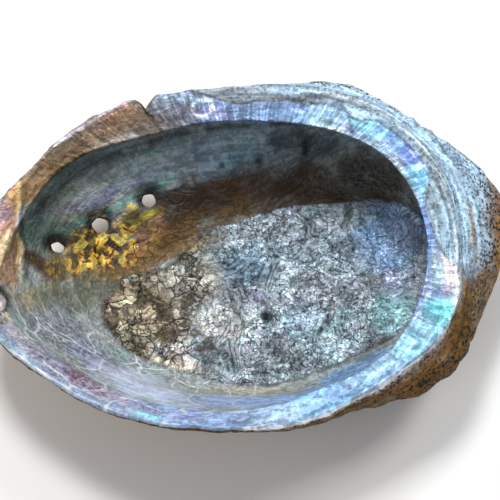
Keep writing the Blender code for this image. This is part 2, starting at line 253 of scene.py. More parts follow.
@dataclass
class ShellForm:
    """The loft of the part: rings of stations (angle in degrees, radius, height)."""

    columns: int = 480
    axis: Pair = (2.82, -0.56)
    scar: tuple = (
        (0, 66, 14), (30, 66, 15), (60, 43, 12), (90, 31, 11), (120, 27, 10.5), (150, 33, 12),
        (170, 49, 14), (187, 58, 16), (205, 57.5, 15), (225, 54.5, 14), (246, 48, 12.5),
        (270, 46, 12), (294, 48, 12), (317, 54, 13), (338, 62, 14),
    )
    wall: tuple = (
        (0, 79, 24), (30, 82, 25), (50, 73, 27), (69, 58.5, 28), (86, 49, 28), (106, 45.5, 27),
        (125, 46, 26), (143, 50.5, 25), (162, 62.5, 25), (173, 76, 27.5), (190, 82, 30),
        (205, 75, 28.5), (225, 65, 28), (246, 57, 27), (270, 54, 26), (294, 55, 26),
        (317, 62, 25), (338, 72, 25),
    )
    undercut: tuple = (
        (0, 84, 37), (30, 86, 38), (50, 76, 39.5), (66, 64, 41), (84, 58, 41.5), (101, 58.5, 41.5),
        (119, 62.5, 41), (137, 70, 41), (149, 78, 41), (162, 85, 41), (175, 89, 40), (190, 91, 37.5),
        (205, 83, 35.5), (225, 71, 35), (246, 62.5, 35), (270, 59, 35), (294, 61, 37), (317, 69, 38),
        (338, 77, 37.5),
    )
    edge: tuple = (
        (0, 65.5, 53), (22, 63.5, 54), (36, 61, 54), (48, 58, 53), (64, 54, 52), (82, 51.5, 51),
        (101, 52, 51), (119, 56, 50), (137, 63.5, 50), (149, 73.5, 49), (160, 81, 48), (173, 87.5, 46.5),
        (190, 95, 43), (204, 88, 41.5), (225, 75.5, 41), (246, 67.5, 42), (264, 64, 43.5),
        (281, 62, 45.5), (296, 61.5, 47), (314, 64.7, 49), (333, 65.8, 51), (346, 65.8, 52.5),
    )
    rim: tuple = (
        (0, 77, 56), (25, 77, 56), (45, 75, 55), (65, 71.5, 53.5), (90, 67, 52), (112, 69.8, 51),
        (130, 78, 50), (145, 84.5, 49), (160, 91, 48), (172, 98.5, 47), (187, 104.5, 46.5),
        (200, 99.5, 46), (213, 90.5, 46), (226, 83.5, 47), (242, 77, 48), (262, 71.5, 49),
        (280, 71, 50), (298, 71, 51), (316, 73.5, 52), (332, 78, 53), (346, 78.5, 55),
    )
    shoulder: tuple = (
        (0, 97, 35), (15, 101.5, 36), (30, 94, 37), (45, 85.5, 39), (60, 83, 42), (75, 75, 43.5),
        (90, 68.5, 43), (112, 69.5, 41), (130, 76.5, 40), (145, 82, 39), (160, 89, 38), (175, 98, 38),
        (188, 99.5, 38), (204, 92.5, 37.5), (225, 78, 36), (245, 70, 36), (262, 67, 36),
        (280, 66, 34), (293, 68.5, 33), (304, 70.5, 32), (315, 79.5, 31), (325, 85.5, 31),
        (335, 88.5, 31.5), (346, 90.5, 33),
    )
    flank: tuple = (
        (0, 92, 20), (17, 94, 21), (30, 90, 21), (45, 82, 21), (60, 72, 22), (75, 61, 23.5),
        (90, 53.5, 22.5), (106, 49.5, 22), (125, 50, 21), (145, 54, 20.5), (162, 65, 20.5),
        (173, 78, 22.5), (190, 85, 25), (205, 78, 23.5), (225, 69.5, 24), (246, 61.5, 22.5),
        (270, 58, 21.5), (294, 60, 20), (317, 70, 19), (334, 82, 19),
    )
    belly: tuple = (
        (0, 72, 8), (30, 70, 8), (60, 50, 7), (90, 33, 6), (120, 29.5, 5.5), (150, 35.5, 7),
        (170, 51, 8), (187, 60, 9.7), (205, 59.5, 9), (225, 57, 8.5), (246, 50, 7.5), (270, 48, 7),
        (294, 50, 7), (317, 57, 7.5), (338, 66, 8),
    )
    floor_height: float = 7.5
    floor_rise: float = 1.5
    foot_centre: Pair = (17.5, 3.0)
    foot_radius: float = 17.0
    clear_of_ground: float = 0.5
    shelf_shoulder: Pair = (1.3, 0.7)
    shelf_dip: float = 0.8
    lip_rise: Pair = (0.4, 1.4)
    under_edge_share: float = 0.3
    rim_thickness: Pair = (0.8, 2.4)
    crown_bulge: float = 0.09
    chip_angle: float = 124.7
    chip_sides: Pair = (4.2, 0.8)
    chip_depth: float = 6.0
    chip_lean_share: float = 0.37
    chip_shoulder_share: float = 0.9
    thin_lip: Pairs = ((190.0, 215.0), (280.0, 300.0))
    rim_waver: float = 0.5
    waver_size: float = 7.0
    waver_circle: float = 80.0
    fine_steps: int = 4001

    @staticmethod
    def closed_curve(stations: tuple, angles: Array) -> Array:
        """Read a ring at the angles: a smooth closed cubic through its stations.

        Args:
            stations: Angle in degrees and the values there, in order round the ring.
            angles: Where to read it, in radians.

        Returns:
            The values at each angle.
        """
        table = np.array(stations, float)
        knots = np.radians(table[:, 0])
        values = table[:, 1:]
        count = len(knots)
        gaps = (np.roll(knots, -1) - knots) % (2.0 * math.pi)
        before = np.roll(gaps, 1)
        slopes = (np.roll(values, -1, axis=0) - values) / gaps[:, None]
        system = np.zeros((count, count))
        index = np.arange(count)
        system[index, index] = 2.0 * (gaps + before)
        system[index, (index + 1) % count] += gaps
        system[index, (index - 1) % count] += before
        bend = np.linalg.solve(system, 6.0 * (slopes - np.roll(slopes, 1, axis=0)))
        angles = np.asarray(angles) % (2.0 * math.pi)
        span = np.searchsorted(knots, angles, side="right") - 1
        after = (span + 1) % count
        gap = gaps[span][:, None]
        along = ((angles - knots[span]) % (2.0 * math.pi))[:, None]
        left = gap - along
        return (
            (bend[span] * left ** 3 + bend[after] * along ** 3) / (6.0 * gap)
            + (values[span] / gap - bend[span] * gap / 6.0) * left
            + (values[after] / gap - bend[after] * gap / 6.0) * along
        )

    def even_angles(self) -> Array:
        """Angles that split the length of the shelf's inner edge into equal parts.

        Returns:
            The turn of each column, in radians.
        """
        fine = np.linspace(0.0, 2.0 * math.pi, self.fine_steps)
        edge = self.closed_curve(self.edge, fine)
        plan = edge[:, :1] * np.stack((np.cos(fine), np.sin(fine)), axis=1)
        length = np.concatenate(([0.0], np.cumsum(np.linalg.norm(np.diff(plan, axis=0), axis=1))))
        return np.interp(np.arange(self.columns) / self.columns * length[-1], length, fine)

    def ring_points(self, angles: Array) -> Array:
        """Points of every ring: radius and height turned round the axis by the angle.

        Args:
            angles: Turn of each column, in radians.

        Returns:
            Rings by angles by three.
        """
        flat = np.zeros_like(angles)
        degrees = np.degrees(angles)
        circle = np.stack((np.cos(angles), np.sin(angles), flat), axis=1)
        scar, wall, undercut, edge, rim, shoulder, flank, belly = (
            self.closed_curve(stations, angles) for stations in
            (self.scar, self.wall, self.undercut, self.edge, self.rim, self.shoulder, self.flank, self.belly)
        )
        past_chip = degrees - self.chip_angle
        from_chip = np.maximum(past_chip / self.chip_sides[1], -past_chip / self.chip_sides[0])
        chip = self.chip_depth * np.clip(1.0 - from_chip, 0.0, 1.0)
        rim[:, 0] -= chip
        rim[:, 0] += self.rim_waver * rough(self.waver_circle * circle, self.waver_size, 41)
        rim_outer = rim + np.array((self.rim_thickness[0], -self.rim_thickness[1]))
        shoulder[:, 0] -= self.chip_shoulder_share * chip
        lip = between(degrees, *self.thin_lip)
        raised = self.shelf_shoulder[1] + self.lip_rise[0] * lip
        edge_shoulder = edge + np.stack((self.shelf_shoulder[0] + flat, raised), axis=1)
        dip = self.shelf_dip - self.lip_rise[1] * lip
        drop = shoulder - rim_outer
        bulge = self.crown_bulge * np.stack((-drop[:, 1], drop[:, 0]), axis=1)
        sections = (
            np.stack((flat, flat + self.floor_height), axis=1),
            np.stack((scar[:, 0] * 0.5, flat + self.floor_height + self.floor_rise), axis=1),
            scar,
            wall,
            undercut,
            edge + (undercut - edge) * self.under_edge_share,
            edge,
            edge_shoulder,
            (edge + rim) * 0.5 - np.stack((flat, dip), axis=1),
            rim,
            rim_outer,
            rim_outer + drop * 0.5 + bulge,
            shoulder,
            flank,
            belly,
            np.stack((flat + self.foot_radius, flat), axis=1),
            np.stack((flat, flat), axis=1),
        )
        points = np.stack([section[:, :1] * circle for section in sections])
        points[..., 2] = np.stack([section[:, 1] for section in sections])
        lean = self.chip_lean_share * chip
        chipped = slice(ring_number("rim"), ring_number("shoulder") + 1)
        points[chipped, :, 0] -= lean * np.sin(angles)
        points[chipped, :, 1] += lean * np.cos(angles)
        points[ring_number("foot"):, :, :2] += self.foot_centre
        return points

    @staticmethod
    def profile(points: Array) -> Array:
        """Join the rings at every angle by a centripetal Catmull-Rom curve.

        Args:
            points: Rings by angles by three.

        Returns:
            Rows by angles by three, with the rows that RINGS gives between its rings.
        """
        first = 2.0 * points[0] - points[1]
        last = 2.0 * points[-1] - points[-2]
        padded = np.concatenate((first[None], points, last[None]))
        reach = np.linalg.norm(np.diff(padded, axis=0), axis=-1, keepdims=True) ** 0.5
        lines = []
        for number, ring in enumerate(RINGS[:-1]):
            p0, p1, p2, p3 = padded[number:number + 4]
            g0, g1, g2 = reach[number:number + 3]
            t = (np.arange(ring.rows) / ring.rows)[:, None, None] * g1
            a1 = (p0 * -t + p1 * (t + g0)) / g0
            a2 = (p1 * (g1 - t) + p2 * t) / g1
            a3 = (p2 * (g1 + g2 - t) + p3 * (t - g1)) / g2
            b1 = (a1 * (g1 - t) + a2 * (t + g0)) / (g0 + g1)
            b2 = (a2 * (g1 + g2 - t) + a3 * t) / (g1 + g2)
            lines.append((b1 * (g1 - t) + b2 * t) / g1)
        lines.append(points[-1][None])
        return np.concatenate(lines)

    def surface(self) -> Surface:
        """Work out the bare surface, before any relief, with the bowl's axis at the origin.

        Returns:
            The surface's points, normals and places between the rings.
        """
        angles = self.even_angles()
        points = self.profile(self.ring_points(angles))
        ring, part_row, start = [], [], 0
        for number, entry in enumerate(RINGS[:-1]):
            share = np.arange(entry.rows) / entry.rows
            ring.append(number + share)
            part_row.append(start + share * entry.part_rows)
            start += entry.part_rows
        ring.append(np.array([len(RINGS) - 1.0]))
        part_row.append(np.array([float(start)]))
        along = np.gradient(points, axis=0)
        around = np.roll(points, -1, axis=1) - np.roll(points, 1, axis=1)
        normals = np.cross(along, around)
        normals /= np.maximum(np.linalg.norm(normals, axis=-1, keepdims=True), 1e-9)
        steps = np.linalg.norm(np.diff(points, axis=0), axis=-1)
        across = np.concatenate((np.zeros((1, len(angles))), np.cumsum(steps, axis=0)))
        edge_row = sum(entry.rows for entry in RINGS[:ring_number("edge")])
        across -= across[edge_row]
        return Surface(points, angles, np.concatenate(ring)[:, None], np.concatenate(part_row)[:, None],
                       normals, across)


@dataclass(frozen=True)
class Spot:
    """A round feature at a place in the plan, in the part's frame."""

    x: float
    y: float
    radius: float
    height: float

    def away(self, points: Array) -> Array:
        """Distance in the plan from the spot's middle."""
        return np.hypot(points[..., 0] - self.x, points[..., 1] - self.y)

    def near(self, points: Array, reach: float = 1.0) -> Array:
        """Nearness to the spot from 0 to 1, as a round bell over its radius times the reach."""
        return bump(self.away(points), self.radius * reach)

    def swell(self, points: Array) -> Array:
        """The spot's height as a round bell over its radius."""
        return self.height * self.near(points)


@dataclass(frozen=True)
class Oval:
    """A long round place in the plan: its middle, and its length and width against one another."""

    x: float
    y: float
    length: float
    width: float

    def away(self, points: Array) -> Array:
        """Distance in the plan from the middle, in parts of the length and the width."""
        return np.hypot((points[..., 0] - self.x) / self.length, (points[..., 1] - self.y) / self.width)


@dataclass
class PoreRow:
    """The row of breathing pores: three open, the older ones sealed, wound in to the apex."""

    apex: Pair = (66.0, 16.0)
    start: Pair = (164.0, 187.0)
    step_ratio: float = 0.868
    step_turn: float = 4.0
    turn_growth: float = 0.38
    first_closed: int = 4
    closed: int = 12
    closed_inside: int = 4
    knob_height: float = 2.6
    knob_radius: float = 4.6
    blister_height: float = 1.2
    blister_radius: float = 3.4
    open_pores: tuple = (
        (-75.6, 8.7, 27.0, 2.5), (-59.4, 19.3, 25.0, 3.3), (-40.3, 30.5, 25.0, 3.0),
    )
    lean: Pair = (-0.2, 0.3)
    sides: int = 40
    reach: Pair = (-9.0, 13.0)
    funnel_depth: float = 2.6
    funnel_radius: float = 6.0
    funnel_offset: Pair = (1.2, 1.4)
    common_radius: float = 3.0
    collar_height: float = 2.2
    wobble: Pair = (0.06, 0.04)
    # Where the painted shadow lies behind each open pore, how it is turned and how it fades
    hollow_offset: Pair = (1.9, 0.9)
    shadow_turn: Pair = (0.82, 0.57)
    shadow_length: float = 1.5
    shadow_fade: Pair = (0.95, 1.65)
    blisters: tuple[Spot, ...] = (
        Spot(-63.0, 15.5, 3.2, 1.8), Spot(-60.5, 10.5, 3.0, 1.5), Spot(-44.5, 25.0, 2.6, 1.9),
        Spot(-10.0, 42.5, 4.6, 1.6), Spot(24.0, 53.0, 4.0, 1.2), Spot(-52.0, 19.0, 2.2, 0.9),
    )
    pits: tuple[Spot, ...] = (
        Spot(-24.0, 36.5, 1.9, -1.8), Spot(-20.0, 38.5, 1.4, -1.6), Spot(-8.5, 43.5, 1.3, -1.4),
        Spot(7.0, 47.5, 2.0, -2.0), Spot(26.0, 52.5, 1.5, -1.6),
    )

    def older(self, number: int) -> Array:
        """Plan position of a pore counted back from the newest: a spiral that shrinks to the apex."""
        reach = self.start[0] * self.step_ratio ** number
        angle = math.radians(self.start[1] - self.step_turn * number - self.turn_growth * number ** 2)
        return np.array((self.apex[0] + reach * math.cos(angle), self.apex[1] + reach * math.sin(angle)))

    def knobs_outside(self, points: Array) -> Array:
        """Bells over the sealed pores of the row, smaller towards the apex.

        Args:
            points: Points with the bowl's axis at the origin.

        Returns:
            Height at each point.
        """
        relief = np.zeros(points.shape[:-1])
        for number in range(self.first_closed, self.first_closed + self.closed):
            away = np.linalg.norm(points[..., :2] - self.older(number), axis=-1)
            size = self.knob_radius * self.step_ratio ** (0.5 * (number - self.first_closed))
            relief += self.knob_height * bump(away, size)
        return relief

    def seals_inside(self, points: Array) -> Array:
        """Low bells of nacre that seal the youngest of the closed pores.

        Args:
            points: Points with the bowl's axis at the origin.

        Returns:
            Height at each point.
        """
        relief = np.zeros(points.shape[:-1])
        for number in range(self.first_closed, self.first_closed + self.closed_inside):
            away = np.linalg.norm(points[..., :2] - self.older(number), axis=-1)
            relief += self.blister_height * bump(away, self.blister_radius)
        return relief

    def funnels(self, points: Array) -> Array:
        """How deep each point lies in a funnel round an open pore, drawn out to the pore's upper side.

        Args:
            points: Points with the bowl's axis at the origin.

        Returns:
            Depth from 0 to 1.
        """
        depth = np.zeros(points.shape[:-1])
        for x, y, _, radius in self.open_pores:
            dx = points[..., 0] - x - self.funnel_offset[0]
            dy = points[..., 1] - y - self.funnel_offset[1]
            reach = self.funnel_radius * radius / self.common_radius
            depth = np.maximum(depth, bump(np.hypot(dx, dy), reach))
        return depth

    def painted_shadows(self, plan: Array) -> Array:
        """Share from 0 to 1 of the painted shadow in the pocket behind each open pore.

        Args:
            plan: Points in the part's frame.

        Returns:
            One share for each point.
        """
        dark = np.zeros(plan.shape[:-1])
        for x, y, _, radius in self.open_pores:
            dx = plan[..., 0] - x - self.hollow_offset[0]
            dy = plan[..., 1] - y - self.hollow_offset[1]
            along = self.shadow_turn[0] * dx + self.shadow_turn[1] * dy
            beside = self.shadow_turn[0] * dy - self.shadow_turn[1] * dx
            away = np.hypot(along / self.shadow_length, beside)
            dark = np.maximum(dark, 1.0 - ease(*self.shadow_fade, away / radius))
        return dark

    def cutter(self, number: int, axis: Pair) -> bpy.types.Object:
        """Make a round bar through the wall along a pore that leans to the front and the shelf side.

        Args:
            number: Which open pore.
            axis: Plan position of the bowl's axis.

        Returns:
            The bar, to be taken away once it has cut.
        """
        x, y, height, radius = self.open_pores[number]
        middle = np.array((x + axis[0], y + axis[1], height))
        bar = np.array((*self.lean, -1.0))
        bar /= np.linalg.norm(bar)
        side = np.cross(bar, (0.0, 0.0, 1.0))
        side /= np.linalg.norm(side)
        turns = np.arange(self.sides) * 2.0 * math.pi / self.sides
        wobble = 1.0 + self.wobble[0] * np.sin(2.0 * turns + number)
        wobble += self.wobble[1] * np.sin(5.0 * turns + 2.0 * number)
        circle = np.cos(turns)[:, None] * side + np.sin(turns)[:, None] * np.cross(bar, side)
        circle *= (radius * wobble)[:, None]
        points = np.concatenate([middle + bar * reach + circle for reach in self.reach])
        near = np.arange(self.sides)
        after = (near + 1) % self.sides
        faces = np.stack((near, after, after + self.sides, near + self.sides), axis=1).tolist()
        faces += [near[::-1].tolist(), (near + self.sides).tolist()]
        mesh = bpy.data.meshes.new("pore_bar")
        mesh.from_pydata((points * MM).tolist(), [], faces)
        return placed("pore_bar", mesh)


@dataclass
class MuscleScar:
    """The rough patch where the muscle held on: flaking at the front, crinkled behind."""

    lift: float = 0.8
    relief: float = 0.6
    flake_size: float = 11.0
    outline: tuple = (
        (27, 2.2), (37, 1.9), (64, 1.88), (90, 1.9), (111, 2.0), (135, 2.1), (148, 1.8), (158, 1.6),
        (172, 1.5), (177, 1.75), (185, 1.9), (198, 2.1), (218, 1.9), (240, 1.8), (275, 1.85),
        (309, 1.8), (331, 1.9), (355, 2.3),
    )
    ledge: float = 0.55
    bare: tuple[Spot, ...] = (
        Spot(-38.0, -8.0, 4.6, 1.0), Spot(-32.5, -14.0, 4.2, 1.0), Spot(-30.0, -24.0, 4.4, 1.0),
        Spot(-23.5, -7.5, 3.0, 1.0), Spot(-51.0, -19.0, 4.0, 0.7), Spot(-14.0, -27.0, 3.0, 0.8),
    )
    plate_size: float = 7.5
    plate_step: float = 1.1
    chip_size: float = 3.4
    wrinkle_size: float = 2.8
    wrinkle_height: float = 0.6
    pits: tuple[Spot, ...] = (
        Spot(9.0, -14.5, 1.7, -2.4), Spot(3.0, -17.5, 1.3, -1.4), Spot(18.0, -20.0, 1.2, -1.4),
        Spot(57.0, -25.5, 1.8, -1.6), Spot(45.0, 14.0, 0.9, -1.2), Spot(34.0, -15.0, 1.2, -1.3),
        Spot(-32.0, -31.0, 1.6, -1.0), Spot(61.5, -12.0, 1.1, -0.9), Spot(24.0, 9.0, 1.0, -1.0),
        Spot(68.5, 0.5, 1.0, -1.2), Spot(59.5, 23.0, 0.7, -0.6), Spot(-3.0, -11.0, 1.0, -1.0),
    )

    def signed_inside(self, surface: Surface, plan: Array) -> Array:
        """How far inside the scar's outline each point lies, in rings, with a ragged line."""
        ragged = 0.05 * rough(plan, 6.0, 51) + 0.03 * rough(plan, 2.2, 52, 2)
        return surface.up_to(self.outline) + ragged

    def smooth_share(self, plan: Array) -> Array:
        """Share of the smooth blue skin under the spire end."""
        drift = 5.0 * rough(plan, 14.0, 61)
        return ease(43.0, 56.0, plan[..., 0] + 0.25 * plan[..., 1] + drift)

    def flaky_share(self, plan: Array) -> Array:
        """Share of the flaking plates at the front end."""
        drift = 9.0 * rough(plan, 16.0, 62)
        front = 1.0 - ease(-22.0, -6.0, plan[..., 0] + drift)
        return front * (1.0 - 0.85 * self.bare_share(plan))

    def bare_share(self, plan: Array) -> Array:
        """Share of the smooth patches where the plates have come away, with a jagged outline.

        Args:
            plan: Points in the part's frame.

        Returns:
            One share for each point.
        """
        ragged = plan + 3.4 * shaken(plan, 6.0, 64)
        bare = sum(spot.height * (1.0 - ease(0.85, 1.0, spot.away(ragged) / spot.radius))
                   for spot in self.bare)
        return np.clip(bare, 0.0, 1.0)

    def wrinkles(self, plan: Array) -> Array:
        """Crumpled ridges from 0 to 1: one less the size of warped lumps."""
        warp = np.stack([lumps(plan, 5.0, 70 + k) for k in range(3)], axis=-1)
        folded = 1.0 - np.abs(rough(plan + 1.4 * warp, self.wrinkle_size, 73, 2)) * 2.4
        return np.clip(folded, 0.0, 1.0)

    def plates(self, plan: Array) -> tuple[Array, Array]:
        """Flaking plates: cells of two sizes on warped ground.

        Args:
            plan: Points in the part's frame.

        Returns:
            The height of the plates from 0 to 1, and the lines between them from 0 to 1.
        """
        warp = shaken(plan, 6.0, 80)
        broad, broad_gap, _ = flakes(plan + 3.0 * warp, self.plate_size, 83)
        small, small_gap, _ = flakes(plan + 2.0 * warp, self.chip_size, 86)
        height = 0.7 * np.floor(broad * 3.99) / 3.0 + 0.3 * small
        lines = np.maximum(1.0 - ease(0.0, 0.16, broad_gap), 0.55 * (1.0 - ease(0.0, 0.2, small_gap)))
        return height, lines


@dataclass
class Crust:
    """The outside: growth ledges, lumps, knobs over the old pores and the low spire."""

    growth_steps: float = 7.0
    growth_fade: Pair = (0.2, 0.6)
    growth_relief: float = 0.45
    lump_relief: float = 0.7
    lump_size: float = 19.0
    spire_radius: float = 24.0
    spire_height: float = 5.0
    spire_groove: float = 2.4
    spire_winding: float = 2.6
    spire_tip: Pair = (2.0, 8.0)
    layer_steps: float = 17.0
    layer_relief: float = 0.35
    grain_relief: float = 0.5
    burrow_spacing: float = 5.5
    burrow_radius: float = 0.85
    burrow_depth: float = 0.9

    def growth_stage(self, points: Array, form: ShellForm, apex: Pair) -> Array:
        """How old each point is: 0 at the apex, 1 at the rim, found by halving.

        Every growth line is the rim's outline shrunk towards the apex.

        Args:
            points: Points with the bowl's axis at the origin.
            form: The loft, for the rim's outline.
            apex: Plan position of the apex.

        Returns:
            One stage for each point.
        """
        offset = points[..., :2] - np.array(apex)
        low = np.full(points.shape[:-1], 0.01)
        high = np.full(points.shape[:-1], 1.6)
        for _ in range(12):
            middle = 0.5 * (low + high)
            spot = np.array(apex) + offset / middle[..., None]
            angle = np.arctan2(spot[..., 1], spot[..., 0])
            reach = form.closed_curve(form.rim, angle.ravel())[:, 0].reshape(angle.shape)
            outside = np.hypot(spot[..., 0], spot[..., 1]) > reach
            low = np.where(outside, middle, low)
            high = np.where(outside, high, middle)
        return 0.5 * (low + high)

    def height(self, points: Array, stage: Array, pores: PoreRow) -> Array:
        """Sum of sine ledges along the growth lines, lumps, pore knobs and the wound cap.

        Args:
            points: Points with the bowl's axis at the origin.
            stage: Growth stage of each point.
            pores: The row of pores.

        Returns:
            Height above the bare loft.
        """
        wave = 2.0 * math.pi * self.growth_steps * stage + 1.1 * rough(points, 22.0, 88)
        young = ease(*self.growth_fade, stage)
        relief = self.growth_relief * young * (np.sin(wave) - 0.3 * np.sin(2.0 * wave))
        relief += self.lump_relief * lumps(points, self.lump_size, 3)
        relief += pores.knobs_outside(points)
        offset = points[..., :2] - np.array(pores.apex)
        away = np.hypot(offset[..., 0], offset[..., 1])
        turn = np.arctan2(offset[..., 1], offset[..., 0])
        coil = np.sin(turn - self.spire_winding * np.log(np.maximum(away, 1.0)))
        cap = 1.0 - ease(0.0, self.spire_radius, away)
        relief += self.spire_height * cap
        relief += self.spire_groove * coil * cap * ease(*self.spire_tip, away)
        return relief

    def fine_height(self, points: Array, stage: Array) -> Array:
        """Thin worn layers along the growth lines, and grains of crust on them.

        Args:
            points: Points with the bowl's axis at the origin.
            stage: Growth stage of each point.

        Returns:
            Height at each point.
        """
        drift = 0.6 * rough(points, 12.0, 91)
        layer = np.mod(stage * self.layer_steps + drift, 1.0)
        ledges = self.layer_relief * (layer - 0.5) * ease(0.35, 0.8, stage)
        return ledges + self.grain_relief * rough(points, 4.5, 95)

    def burrows(self, points: Array) -> Array:
        """Holes bored by small animals: round wells, from 0 to 1, in the middle of some of the cells.

        Args:
            points: Points with the bowl's axis at the origin.

        Returns:
            Depth at each point.
        """
        leant = points[..., :2] + 0.6 * points[..., 2:]
        number, _, away = flakes(leant, self.burrow_spacing, 97)
        size = self.burrow_radius * (0.5 + number) / self.burrow_spacing
        return (1.0 - ease(0.5, 1.0, away / size)) * (number > 0.74)


@dataclass
class ShelfDetail:
    """The flat shelf and the margin round it: where the nacre ends, its knobs, notch and crack."""

    nacre_reach: tuple = (
        (0, 7.45), (14, 7.5), (19, 8.1), (26, 8.4), (33, 8.3), (41, 8.35), (47, 8.2), (52, 7.95),
        (58, 8.3), (66, 8.15), (76, 8.1), (90, 8.05), (99, 8.15), (106, 8.6), (114, 9.1), (124, 9.1),
        (140, 8.9), (158, 9.0), (175, 9.3), (205, 9.7), (232, 9.75), (262, 9.7), (285, 9.65), (300, 9.8),
        (312, 9.95), (324, 9.9), (334, 9.8), (341, 9.3), (348, 8.7), (354, 8.1),
    )
    scallop: float = 0.12
    margin_drop: float = 0.45
    ridge_height: float = 0.35
    ridge_ring: float = 8.7
    ridge_width: float = 0.16
    knobs: tuple[Spot, ...] = (
        Spot(70.5, 19.0, 2.6, 1.2), Spot(72.5, 12.5, 2.4, 1.3), Spot(72.0, 5.0, 2.6, 1.0),
        Spot(72.5, -2.5, 2.2, 1.1), Spot(70.5, -8.0, 1.8, 0.9), Spot(76.0, 16.0, 2.2, 0.8),
    )
    notch: Spot = Spot(-91.0, -22.0, 3.6, -1.8)
    front_hole: Spot = Spot(-89.6, -29.4, 1.9, -1.0)
    dark_dot: Spot = Spot(69.5, -15.5, 1.1, -0.8)
    ring_scar: Spot = Spot(-16.0, 57.0, 3.9, 0.0)
    crack: tuple = (38.5, 58.0, 42.5, 44.0)
    crack_width: float = 0.7

    def beyond_nacre(self, surface: Surface, plan: Array) -> Array:
        """How far beyond the nacre's outer line each point lies, in rings, with a scalloped line."""
        return self.scallop * rough(plan, 5.5, 101) - surface.up_to(self.nacre_reach)

    def crack_line(self, plan: Array) -> Array:
        """Nearness to the crack across the shelf, from 0 to 1, on ground that wavers.

        Args:
            plan: Points in the part's frame.

        Returns:
            One share for each point.
        """
        x0, y0, x1, y1 = self.crack
        waver = 1.2 * lumps(plan, 4.0, 105)
        along = (plan[..., 0] - x0) * (x1 - x0) + (plan[..., 1] - y0) * (y1 - y0)
        share = np.clip(along / ((x1 - x0) ** 2 + (y1 - y0) ** 2), 0.0, 1.0)
        across = plan[..., 0] + waver - x0 - share * (x1 - x0)
        return bump(np.hypot(across, plan[..., 1] - y0 - share * (y1 - y0)), self.crack_width)


class Zone(Enum):
    """Which part of the shell a tint is laid on."""

    SCAR = "scar"
    WALL = "wall"
    SHELF = "shelf"
    CRUST = "crust"


@dataclass(frozen=True)
class Tint:
    """A soft blot of colour: its middle, length, width, turn in degrees, colour and strength."""

    x: float
    y: float
    length: float
    width: float
    turn: float
    colour: str
    strength: float = 0.85

    def share(self, points: Array, edge_noise: Array) -> Array:
        """How much of the tint each point takes: full in its middle, none past its ragged oval.

        Args:
            points: Points in the part's frame.
            edge_noise: What makes the oval ragged.

        Returns:
            One share for each point.
        """
        turn = math.radians(self.turn)
        dx = points[..., 0] - self.x
        dy = points[..., 1] - self.y
        along = (dx * math.cos(turn) + dy * math.sin(turn)) / (0.5 * self.length)
        beside = (dy * math.cos(turn) - dx * math.sin(turn)) / (0.5 * self.width)
        return self.strength * (1.0 - ease(0.45, 1.25, np.hypot(along, beside) + 0.35 * edge_noise))


